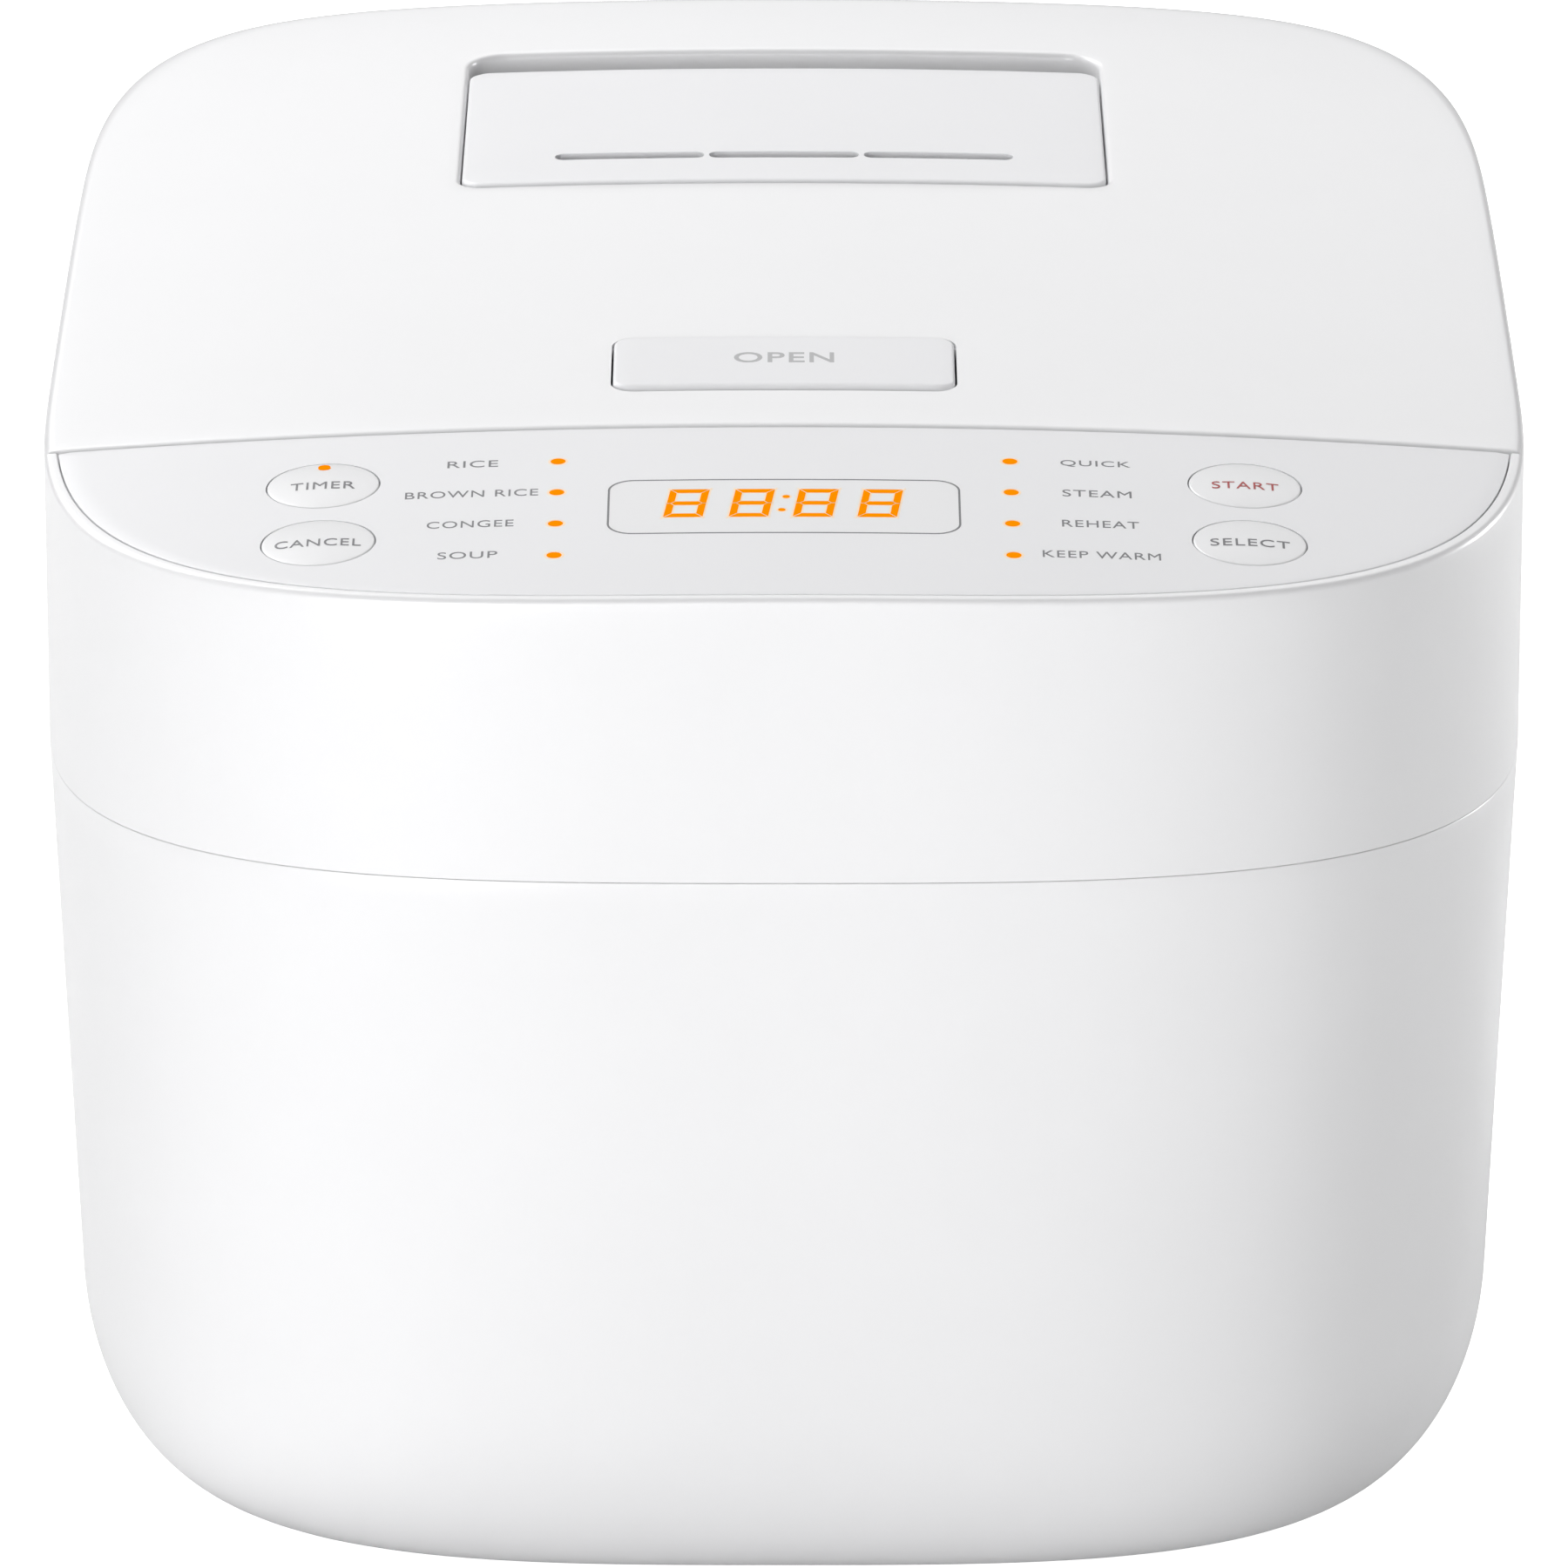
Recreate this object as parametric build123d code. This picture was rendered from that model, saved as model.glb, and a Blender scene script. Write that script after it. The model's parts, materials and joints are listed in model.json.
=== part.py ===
from build123d import *
import os
from math import cos, pi, radians, sin, sqrt, tan

# A family-size electronic rice cooker, in millimetres.
# The origin is at the middle of the footprint on the worktop, +Z is up and the control panel faces -Y.

# ---- driving dimensions -------------------------------------------------------------------------
HALF_WIDTH = 125.0         # of the casing at its widest line
LENGTH = 306.0             # front to back
FRONT_REACH = 108.3        # from the widest line to the front
BACK_REACH = LENGTH - FRONT_REACH
WIDEST_Y = FRONT_REACH - LENGTH / 2
FRONT_POWER = 3.30         # superellipse exponents: a round front and squarer back corners
BACK_POWER = 6.35

FOOT_HEIGHT = 3.0
SEAM_Z = 133.8             # hairline between the lower body and the upper frame
TAPER = tan(radians(2.38))  # the lower body narrows downwards
ROUND_HEIGHT = 35.7        # the rounding where the wall runs into the bottom
ROUND_WIDTH = 24.5
WALL = 2.5

PANEL_EDGE_Z = 182.7       # top surface at the panel's front edge
RIM = 2.1                  # wall left standing round the control panel
PANEL_SLOPE = tan(radians(5.81))
CROWN = 0.00031            # per mm: the top surface falls off to both sides
LID_SAG = 0.00019          # per mm: the lid flattens out towards the back
SPLIT_Y = -80.5            # control panel in front, lid behind
SPLIT_GAP = 0.45
SKIN = 2.4                 # thickness of the panel and of the lid's top

LID_SEAM_Z = 170.0         # side seam between the upper frame and the lid
SEAM_GAP = 0.4
DECK_TOP = 164.6           # the sunken deck round the pot
DECK = 2.6

HINGE_Y = 139.0
HINGE_Z = 176.0
BARREL = 14.0              # radius of the lid's round rear edge, about the hinge axis
BARREL_GAP = 0.6
KNUCKLE_X = 60.0
KNUCKLE_HALF = 6.0
PIN_RADIUS = 2.5
RUNNING = 0.05             # radial clearance of a turning fit

POT_Y = 25.5
POT_RADIUS = 89.0          # inside
POT_WALL = 1.5
POT_TOP = 166.6
POT_DEPTH = 118.0
POT_FLANGE = 95.0
PLATE_TOP = POT_TOP - POT_DEPTH - POT_WALL - 0.1
PLATE_RADIUS = 79.0
LINER_RADIUS = 93.2
LINER_FLOOR = 27.0

BUTTON_X = 76.5
BUTTON_ROWS = (-101.5, -125.4)
BUTTON_RADIUS = 9.35
BUTTON_GAP = 0.3
BUTTON_TRAVEL = 0.6
LAMP_X = 37.6
LAMP_ROWS = (-94.5, -107.6, -120.7, -133.8)
LAMP_RADIUS = 1.35
TIMER_LAMP_Y = -94.7
DISPLAY_Y = -114.35
DISPLAY_SIZE = (58.0, 22.3)

KEY_BACK, KEY_FRONT = -40.5, -64.3   # the lid release button
KEY_HALF = 28.95
KEY_PIVOT = (-43.0, 191.2)  # y, z of the axle that the release button tips on
LATCH_PIVOT = (-52.0, 178.0)
CATCH_Y = -77.0            # front edge of the slot in the deck that the latch reaches through
LATCH_SLOT_HALF = 9.5

VENT_HALF = 57.0
VENT_FRONT, VENT_BACK, VENT_WALL_Y = 38.2, 104.5, 115.0
VENT_FLOOR = 183.5
STEAM_Y = 72.0

INLET_X, INLET_Z = -40.0, 50.0

FAR = 140.0                # past the casing to both sides, for cutting tools
ABOVE = 240.0              # past its top

os.makedirs("parts", exist_ok=True)


# ---- shared shapes ------------------------------------------------------------------------------
def plan_point(inset, angle, z=0.0):
    """A point of the casing's plan, moved in by inset; the angle runs from +X towards +Y."""
    c, s = cos(angle), sin(angle)
    reach, power = (BACK_REACH, BACK_POWER) if s >= 0 else (FRONT_REACH, FRONT_POWER)
    scale = (abs(c) ** power + abs(s) ** power) ** (-1 / power)
    return ((HALF_WIDTH - inset) * c * scale, WIDEST_Y + (reach - inset) * s * scale, z)


def outline(inset=0.0, z=0.0):
    """The casing's plan at a height as a closed wire."""
    count = 96
    points = [plan_point(inset, 2 * pi * i / count, z) for i in range(count)]
    return Wire([Edge.make_spline(points, periodic=True)])


def prism(inset, low, high):
    """The casing's plan as an upright solid."""
    return Solid.extrude(Face(outline(inset, low)), Vector(0, 0, high - low))


def top_z(x, y):
    """Height of the casing's top surface: a slope with a crown across it, flattening over the lid."""
    rise = PANEL_SLOPE * (y - (WIDEST_Y - FRONT_REACH + RIM))
    return PANEL_EDGE_Z + rise - CROWN * x * x - LID_SAG * max(y - SPLIT_Y, 0) ** 2


def under_top(drop, y_low=-160.0, y_high=160.0):
    """Everything below the top surface lowered by drop, between two lines across."""
    columns = [-140 + 28 * i for i in range(11)]
    rows = [y_low + (y_high - y_low) * i / 12 for i in range(13)]
    grid = [[Vector(x, y, top_z(x, y) - drop) for y in rows] for x in columns]
    return Solid.extrude(Face.make_surface_from_array_of_points(grid, tol=0.005), Vector(0, 0, -300))


def block(x0, x1, y0, y1, z0, z1):
    return Solid.make_box(x1 - x0, y1 - y0, z1 - z0, Plane((x0, y0, z0)))


def slice_across(y0, y1, z0, z1):
    """A block that reaches past the casing on both sides."""
    return block(-FAR, FAR, y0, y1, z0, z1)


def rod(radius, start, end):
    """A cylinder from one point to another."""
    a, b = Vector(*start), Vector(*end)
    return Solid.make_cylinder(radius, (b - a).length, Plane(a, z_dir=(b - a)))


def tube(outer, inner, start, end):
    return rod(outer, start, end) - rod(inner, start, end)


def across(radius, x0, x1):
    """A cylinder along the hinge axis."""
    return rod(radius, (x0, HINGE_Y, HINGE_Z), (x1, HINGE_Y, HINGE_Z))


def rounded_bar(x0, x1, y0, y1, radius, z0, z1):
    """An upright block whose four vertical edges are rounded."""
    sketch = RectangleRounded(x1 - x0, y1 - y0, radius)
    place = Plane(((x0 + x1) / 2, (y0 + y1) / 2, z0))
    return extrude(place * sketch, z1 - z0).solid()


def turned(points):
    """A solid of revolution about the pot's axis from (radius, z) corners."""
    wire = Wire.make_polygon([(r, 0, z) for r, z in points], close=True)
    return revolve(Face(wire), Axis.Z).moved(Location((0, POT_Y, 0)))


def helix_spring(radius, wire, height, turns):
    path = Edge.make_helix(height / turns, height, radius)
    section = Face(Wire.make_circle(wire / 2, Plane(path @ 0, z_dir=path % 0)))
    return Solid.sweep(section, path)


def cable(points, radius, bend):
    """A lead of straight runs joined by arcs."""
    path = FilletPolyline(*points, radius=bend)
    section = Face(Wire.make_circle(radius, Plane(path @ 0, z_dir=path % 0)))
    return Solid.sweep(section, Wire(path.edges()))


def cut(shape, *tools):
    for tool in tools:
        shape = shape - tool
    return shape


def fuse(first, *others):
    for other in others:
        first = first + other
    return first


def save(node, *solids):
    """Writes one node; several solids make a group."""
    found = [s for shape in solids for s in shape.solids()]
    export_step(found[0] if len(found) == 1 else Compound(children=found), f"parts/{node}.step")


# ---- casing -------------------------------------------------------------------------------------
def hull(inset, floor, top=SEAM_Z):
    """The lower body's outside, or its inside when inset: tapered, with a rounded bottom."""
    tall = ROUND_HEIGHT - floor
    bend = FOOT_HEIGHT + ROUND_HEIGHT
    heights = [(top, 0.0)]
    for i in range(10):
        angle = pi / 2 * i / 9
        heights.append((bend - tall * sin(angle), ROUND_WIDTH * (1 - cos(angle))))
    sections = [outline(inset + TAPER * (SEAM_Z - z) + rounding, z) for z, rounding in heights]
    return Solid.make_loft(sections, ruled=True)


def base_inset(extra):
    """Inset of a plan line counted from the edge of the flat bottom."""
    return ROUND_WIDTH + TAPER * (SEAM_Z - FOOT_HEIGHT) + extra


BASE_SCREWS = [plan_point(base_inset(11), radians(a)) for a in (-52, 8, 55, 125, 172, 232)]
FEET = [(58, -88), (-58, -88), (62, 96), (-62, 96)]
BASE_TOP = FOOT_HEIGHT + WALL
CARD_X, CARD_Y, CARD_FLOOR, CARD_TOP = 64.0, -110.0, 14.0, 112.0
INLET_Y = 151.4            # outer face of the inlet's flange
INLET_SOCKET = (24.4, 16.4, 16.0)


def lower_body():
    shell = hull(0, 0) - hull(WALL, WALL, SEAM_Z + 8)
    lip = prism(WALL - 0.5, SEAM_Z - 5, SEAM_Z - 1) - prism(WALL + 2.1, SEAM_Z - 6, SEAM_Z)
    tongue = prism(WALL + 0.3, SEAM_Z - 1, SEAM_Z + 3.5) - prism(WALL + 2.1, SEAM_Z - 2, SEAM_Z + 4)
    ledge = prism(base_inset(4), BASE_TOP, BASE_TOP + 2.5)
    shell = fuse(shell - prism(base_inset(6), 0, 6), lip, tongue, ledge - prism(base_inset(16), 0, 20))
    for x, y, _ in BASE_SCREWS:
        shell = cut(shell + rod(4, (x, y, BASE_TOP + 1), (x, y, 15)), rod(1.5, (x, y, 0), (x, y, 13)))
    for side in (1, -1):
        guide = block(CARD_X - 1, CARD_X + 6, CARD_Y - 4, CARD_Y + 4, BASE_TOP, CARD_TOP)
        slot = block(CARD_X - 2, CARD_X + 1, CARD_Y - 0.85, CARD_Y + 0.85, CARD_FLOOR, CARD_TOP + 1)
        guide = guide - slot
        shell = shell + (guide if side > 0 else mirror(guide, Plane.YZ))
    socket = block(INLET_X - 14.4, INLET_X + 14.4, 130, 160, INLET_Z - 10.4, INLET_Z + 10.4)
    seat = block(INLET_X - 17.2, INLET_X + 17.2, INLET_Y - 2.4, 160, INLET_Z - 12.7, INLET_Z + 12.7)
    return cut(shell, socket, seat)


def base_cover():
    plate = prism(base_inset(6.4), FOOT_HEIGHT, BASE_TOP)
    for x, y, _ in BASE_SCREWS:
        plate = cut(plate, rod(1.7, (x, y, 0), (x, y, 9)), rod(3.1, (x, y, 0), (x, y, FOOT_HEIGHT + 1.4)))
    for x, y in FEET:
        plate = plate - rod(3.0, (x, y, 0), (x, y, 9))
    for row_y in (-30.0, 22.0, 74.0):
        for column in range(-3, 4):
            x = 10.0 * column
            plate = plate - rounded_bar(x - 1.6, x + 1.6, row_y - 18, row_y + 18, 1.5, 0, 9)
    return plate


def base_screws():
    return [
        rod(2.8, (x, y, FOOT_HEIGHT + 0.2), (x, y, FOOT_HEIGHT + 1.4)) + rod(1.48, (x, y, 4.0), (x, y, 12.5))
        for x, y, _ in BASE_SCREWS
    ]


def feet():
    return [rod(9, (x, y, 0), (x, y, FOOT_HEIGHT)) + rod(2.98, (x, y, 2), (x, y, 7.5)) for x, y in FEET]


def upper_frame():
    """Band above the seam: panel surround in front, sunken deck behind, hinge trough at the back."""
    front_limit = SPLIT_Y - SPLIT_GAP / 2
    wall = (prism(0, SEAM_Z, ABOVE) & under_top(0)) - prism(WALL, SEAM_Z - 1, ABOVE)
    recess = prism(RIM, SEAM_Z, ABOVE) - under_top(SKIN)
    wall = cut(wall, slice_across(front_limit, 170, LID_SEAM_Z, ABOVE), recess)
    inside = prism(WALL - 0.3, SEAM_Z, ABOVE)
    deck = inside & slice_across(-84.0, 160, DECK_TOP - DECK, DECK_TOP)
    partition = inside & slice_across(-84.0, -81.4, DECK_TOP - DECK, ABOVE) & under_top(SKIN)
    ledge = (inside - prism(WALL + 2.5, SEAM_Z - 1, ABOVE)) & slice_across(-160, -82, 150, ABOVE)
    ledge = (ledge & under_top(SKIN)) - under_top(SKIN + 2)
    gap = BARREL + BARREL_GAP
    trough = across(gap + 2.4, -130, 130) & slice_across(110, HINGE_Y, 150, DECK_TOP)
    floor = slice_across(HINGE_Y - 1, 160, HINGE_Z - gap - 2.4, HINGE_Z - gap)
    frame = fuse(wall, deck, partition, ledge, trough & inside, floor & inside)
    frame = cut(frame, across(gap, -FAR, FAR), slice_across(HINGE_Y, 170, HINGE_Z - gap, ABOVE))
    frame = cut(frame, rod(POT_RADIUS + POT_WALL + 1, (0, POT_Y, 150), (0, POT_Y, 180)))
    frame = cut(frame, block(-LATCH_SLOT_HALF, LATCH_SLOT_HALF, CATCH_Y, CATCH_Y + 6.7, 150, 168))
    for x in (-KNUCKLE_X, KNUCKLE_X):
        low, high = x - KNUCKLE_HALF, x + KNUCKLE_HALF
        web = block(low, high, HINGE_Y - 8, HINGE_Y + 4, HINGE_Z - gap - 1, HINGE_Z)
        frame = fuse(frame, web, across(BARREL - 0.6, low, high))
        frame = frame - across(PIN_RADIUS + 0.02, low - 1, high + 1)
    return frame


# ---- control panel ------------------------------------------------------------------------------
def spot(x, y, depth=0.0, lean=True):
    """A plane on the top surface, its z axis along the surface normal, sunk by depth."""
    normal = Vector(2 * CROWN * x if lean else 0, -PANEL_SLOPE, 1).normalized()
    return Plane(Vector(x, y, top_z(x, y)) - normal * depth, x_dir=(1, 0, 0), z_dir=normal)


def post(x, y, radius, depth, height, lean=True):
    """A cylinder square to the top surface, from depth below it upwards by height."""
    return Solid.make_cylinder(radius, height, spot(x, y, depth, lean))


def slab(x0, x1, y0, y1, depth, height):
    """A plate parallel to the panel's middle line."""
    place = spot(0, (y0 + y1) / 2, depth, False)
    size = Box(x1 - x0, y1 - y0, height, align=(Align.CENTER, Align.CENTER, Align.MIN))
    return (place * Pos((x0 + x1) / 2, 0, 0) * size).solid()


BUTTONS = {
    "timer_button": (-BUTTON_X, BUTTON_ROWS[0]),
    "cancel_button": (-BUTTON_X, BUTTON_ROWS[1]),
    "start_button": (BUTTON_X, BUTTON_ROWS[0]),
    "select_button": (BUTTON_X, BUTTON_ROWS[1]),
}
LAMPS = [(side * LAMP_X, y) for side in (-1, 1) for y in LAMP_ROWS]
BOARD_POSTS = [(57, -91), (-57, -91), (57, -134), (-57, -134)]
DOME = 0.9                 # how far a button's crown stands above its rim
STEM_DEPTH = 7.4
PLUNGER_DEPTH = STEM_DEPTH + BUTTON_TRAVEL + 0.1
BOARD_DEPTH = 14.0


def control_panel():
    plate = (prism(RIM + 0.15, 160, ABOVE) & under_top(0)) - under_top(SKIN)
    plate = plate & slice_across(-160, SPLIT_Y - SPLIT_GAP / 2, 150, ABOVE)
    for x, y in BOARD_POSTS:
        plate = plate + post(x, y, 3, BOARD_DEPTH - CROWN * x * x - 0.1, BOARD_DEPTH - 3, False)
        plate = plate - post(x, y, 1.2, 30, 27, False)
    for x, y in BUTTONS.values():
        plate = plate - post(x, y, BUTTON_RADIUS + BUTTON_GAP, 10, 20)
    for x, y in LAMPS:
        plate = plate - post(x, y, LAMP_RADIUS + 0.04, 10, 20)
    return cut(plate, display_opening(0) - under_top(1.3), display_opening(-3.0))


def display_opening(grow):
    half_x, half_y = DISPLAY_SIZE[0] / 2 + grow, DISPLAY_SIZE[1] / 2 + grow
    return rounded_bar(-half_x, half_x, DISPLAY_Y - half_y, DISPLAY_Y + half_y, max(4 + grow, 2), 160, ABOVE)


def display_lens():
    return (display_opening(-0.15) & under_top(0)) - under_top(1.25)


def display_module():
    return slab(-25, 25, DISPLAY_Y - 7, DISPLAY_Y + 7, BOARD_DEPTH, BOARD_DEPTH - 1.9)


def mode_lamps():
    return [post(x, y, LAMP_RADIUS, 10.5, 10.5) for x, y in LAMPS]


def lamp_leds():
    return [slab(x - 1.5, x + 1.5, y - 1, y + 1, BOARD_DEPTH, 1.6) for x, y in LAMPS]


def button(x, y):
    cap = post(x, y, BUTTON_RADIUS, 3.6, 6)
    sphere = (BUTTON_RADIUS ** 2 + DOME ** 2) / (2 * DOME)
    ball = Solid.make_sphere(sphere, spot(x, y, sphere - DOME), -90, 90, 360)
    return fuse(cap & ball, post(x, y, BUTTON_RADIUS + 1.3, 3.6, 1.1), post(x, y, 2, STEM_DEPTH, 4))


def timer_button_and_lamp():
    x, y = BUTTONS["timer_button"]
    lamp = post(x, TIMER_LAMP_Y, 1.05, 2.3, 2.3 + 0.45)
    return button(x, y) - post(x, TIMER_LAMP_Y, 1.05, 2.3, 10), lamp


def tact_switches():
    """A square switch under each button, its plunger clear of the stem by a little over the travel."""
    found = []
    for x, y in BUTTONS.values():
        base = slab(x - 3, x + 3, y - 3, y + 3, BOARD_DEPTH, 3.4)
        found.append(base + post(x, y, 1.7, PLUNGER_DEPTH + 1.2, 1.2))
    return found


def control_board():
    board = slab(-95, 95, -141, -87, BOARD_DEPTH + 1.6, 1.6) & prism(9, 150, 200)
    for x, y in BOARD_POSTS:
        board = board - post(x, y, 1.3, 20, 20, False)
    return board


def board_screws():
    found = []
    for x, y in BOARD_POSTS:
        low = BOARD_DEPTH + 1.7 - CROWN * x * x
        found.append(post(x, y, 2.5, low + 1.5, 1.4, False) + post(x, y, 1.15, low + 0.2, 7, False))
    return found


# ---- electronics below the panel ----------------------------------------------------------------
def power_board():
    return block(-CARD_X, CARD_X, CARD_Y - 0.8, CARD_Y + 0.8, CARD_FLOOR, CARD_TOP - 2)


def transformer():
    front = CARD_Y - 0.8
    core = block(-52, -20, front - 26, front - 3, 66, 94)
    bobbin = block(-48, -24, front - 24, front, 70, 90)
    winding = block(-44, -28, front - 29, front - 2, 72, 88)
    return fuse(core, bobbin, winding)


def power_relay():
    front = CARD_Y - 0.8
    return rounded_bar(10, 29, front - 16, front, 1, 60, 76)


def filter_capacitor():
    front = CARD_Y - 0.8
    return [rod(6, (x, front, 84), (x, front - 22, 84)) for x in (12, 28)]


def terminal_blocks():
    back = CARD_Y + 0.8
    return [block(x - 14, x + 14, back, back + 11, 27, 38) for x in (INLET_X, 0)]


def ribbon_cable():
    y = CARD_Y + 3.4
    plug_low = block(29, 51, CARD_Y + 0.8, CARD_Y + 5, 96, 104)
    plug_high = slab(29, 51, y - 3, y + 2, BOARD_DEPTH + 6, 4.4)
    return [plug_low, plug_high, block(30, 50, y - 0.4, y + 0.4, 104, 163.5)]


def power_inlet():
    wide, tall, deep = INLET_SOCKET
    back = INLET_Y - deep
    flange = block(INLET_X - 17, INLET_X + 17, INLET_Y - 2.4, INLET_Y, INLET_Z - 12.5, INLET_Z + 12.5)
    flange = fillet(flange.edges().filter_by(Axis.Y), 2.5).solid()
    body = block(INLET_X - 14.2, INLET_X + 14.2, back - 2, INLET_Y - 1, INLET_Z - 10.2, INLET_Z + 10.2)
    half_wide, half_tall = wide / 2, tall / 2
    mouth = block(INLET_X - half_wide, INLET_X + half_wide, back, INLET_Y + 1,
                  INLET_Z - half_tall, INLET_Z + half_tall)
    mouth = chamfer(mouth.edges().filter_by(Axis.Y).sort_by(Axis.Z)[-2:], 4.5).solid()
    shell = (flange + body) - mouth
    for blade in inlet_blades():
        shell = shell - blade
    return shell


def inlet_blades():
    """Live and neutral side by side, earth above them, each running through the socket's floor."""
    back = INLET_Y - INLET_SOCKET[2]
    found = []
    for across_by, up_by in ((-7, -2), (7, -2), (0, 2.5)):
        x, z = INLET_X + across_by, INLET_Z + up_by
        found.append(block(x - 1, x + 1, back - 6, back + 13.5, z - 2, z + 2))
    return found


def inlet_leads():
    y = INLET_Y - INLET_SOCKET[2] - 6
    leads = []
    for x, z in ((-7, -2), (7, -2)):
        x += INLET_X
        route = [(x, y, INLET_Z + z), (x, 117, INLET_Z + z), (x, 117, 15), (x, -102, 15), (x, -102, 27)]
        leads.append(cable(route, 1.4, 6))
    return leads


# ---- heating and pot ----------------------------------------------------------------------------
ELEMENT_RADIUS = 55.0
TERMINAL = (14.0, POT_Y - sqrt(ELEMENT_RADIUS ** 2 - 14.0 ** 2))
PLATE_BOTTOM = PLATE_TOP - 11
POSTS = [(68 * cos(radians(a)), POT_Y + 68 * sin(radians(a))) for a in (90, 210, 330)]


def liner():
    """Thin steel well round the pot, with a floor that carries the heating plate."""
    r, t, z = LINER_RADIUS, 0.8, LINER_FLOOR
    top = DECK_TOP - DECK
    shell = turned([(22, z), (r + t, z), (r + t, top), (r, top), (r, z + t), (22, z + t)])
    for side in (1, -1):
        shell = shell - rod(6, (side * TERMINAL[0], TERMINAL[1], 20), (side * TERMINAL[0], TERMINAL[1], 35))
    return shell


def side_heater():
    return tube(LINER_RADIUS + 2.2, LINER_RADIUS + 0.85, (0, POT_Y, 104), (0, POT_Y, 142))


def element(radius):
    """The tubular heater's ring, half sunk into the plate's underside."""
    return Solid.make_torus(ELEMENT_RADIUS, radius, Plane((0, POT_Y, PLATE_BOTTOM + 1)))


def heating_plate():
    plate = turned([(13.5, PLATE_BOTTOM), (PLATE_RADIUS, PLATE_BOTTOM), (PLATE_RADIUS, PLATE_TOP - 2),
                    (PLATE_RADIUS - 2, PLATE_TOP), (13.5, PLATE_TOP)])
    return plate - element(4.0)


def heater_element():
    ring = element(3.95)
    for side in (1, -1):
        x, y = side * TERMINAL[0], TERMINAL[1]
        ring = ring + rod(2.5, (x, y, 20), (x, y, PLATE_BOTTOM + 2.5))
    return ring


def heater_leads():
    leads = []
    for side in (1, -1):
        x, y = side * TERMINAL[0], TERMINAL[1]
        route = [(x, y, 20), (x, y, 11.5), (x * 0.6, -102, 11.5), (x * 0.6, -102, 27)]
        leads.append(cable(route, 1.4, 4))
    return leads


def plate_posts():
    return [rod(4, (x, y, LINER_FLOOR + 0.8), (x, y, PLATE_BOTTOM)) for x, y in POSTS]


def thermal_fuse():
    return rod(2.2, (28, POT_Y + 18, PLATE_BOTTOM - 2.25), (28, POT_Y + 34, PLATE_BOTTOM - 2.25))


def sensor_guide():
    plate = rod(26, (0, POT_Y, LINER_FLOOR - 1.6), (0, POT_Y, LINER_FLOOR))
    bush = rod(9, (0, POT_Y, LINER_FLOOR - 5), (0, POT_Y, LINER_FLOOR))
    return (plate + bush) - rod(4 + RUNNING, (0, POT_Y, 0), (0, POT_Y, 60))


def thermal_sensor():
    cap = rod(12, (0, POT_Y, PLATE_TOP - 6), (0, POT_Y, PLATE_TOP - 0.1))
    return cap + rod(4, (0, POT_Y, 19), (0, POT_Y, PLATE_TOP - 3))


def sensor_spring():
    low, high = LINER_FLOOR + 0.7, PLATE_TOP - 6.8
    return helix_spring(8, 1.2, high - low, 5).moved(Location((0, POT_Y, low)))


def inner_pot():
    bottom = PLATE_TOP + 0.1
    outer = rod(POT_RADIUS + POT_WALL, (0, POT_Y, bottom), (0, POT_Y, POT_TOP))
    outer = fillet(outer.edges().sort_by(Axis.Z)[0], 18 + POT_WALL).solid()
    hollow = rod(POT_RADIUS, (0, POT_Y, bottom + POT_WALL), (0, POT_Y, POT_TOP + 10))
    hollow = fillet(hollow.edges().sort_by(Axis.Z)[0], 18).solid()
    flange = tube(POT_FLANGE, POT_RADIUS, (0, POT_Y, POT_TOP - 1.6), (0, POT_Y, POT_TOP))
    return (outer - hollow) + flange


# ---- lid ----------------------------------------------------------------------------------------
LID_FRONT = SPLIT_Y + SPLIT_GAP / 2
LID_BOTTOM = LID_SEAM_Z + SEAM_GAP
INNER_LOW, INNER_HIGH = 171.5, 174.0   # the lid's inner frame
SHEET_LOW = 167.8          # underside of the detachable inner plate
LID_SENSOR = (-45.0, 10.0)
LID_SCREWS = [plan_point(16, radians(a)) for a in (-12, 10, 40, 140, 170, 192)]
KNUCKLE_GAP = 0.6


def knuckle_notches():
    half = KNUCKLE_HALF + KNUCKLE_GAP
    return [across(BARREL + BARREL_GAP, x - half, x + half) for x in (-KNUCKLE_X, KNUCKLE_X)]


def lid_envelope():
    """The space the closed lid fills: cut off at its seam, with a round lower edge about the hinge."""
    solid = prism(0, 155, ABOVE) & under_top(0)
    barrel = across(BARREL, -FAR, FAR)
    front = slice_across(-170, LID_FRONT, 100, ABOVE)
    below = slice_across(-170, HINGE_Y, 100, LID_BOTTOM) - barrel
    behind = slice_across(HINGE_Y, 170, 100, HINGE_Z) - barrel
    return cut(solid, front, below, behind)


def vent_pocket(grow, floor):
    return rounded_bar(-VENT_HALF - 0.3 - grow, VENT_HALF + 0.3 + grow, VENT_FRONT - 0.35 - grow,
                       VENT_WALL_Y + grow, 4 + grow, floor, ABOVE)


def key_opening(grow):
    half = KEY_HALF + grow
    return rounded_bar(-half, half, KEY_FRONT - grow, KEY_BACK + grow, 3.5 + grow, 184, ABOVE)


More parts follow.
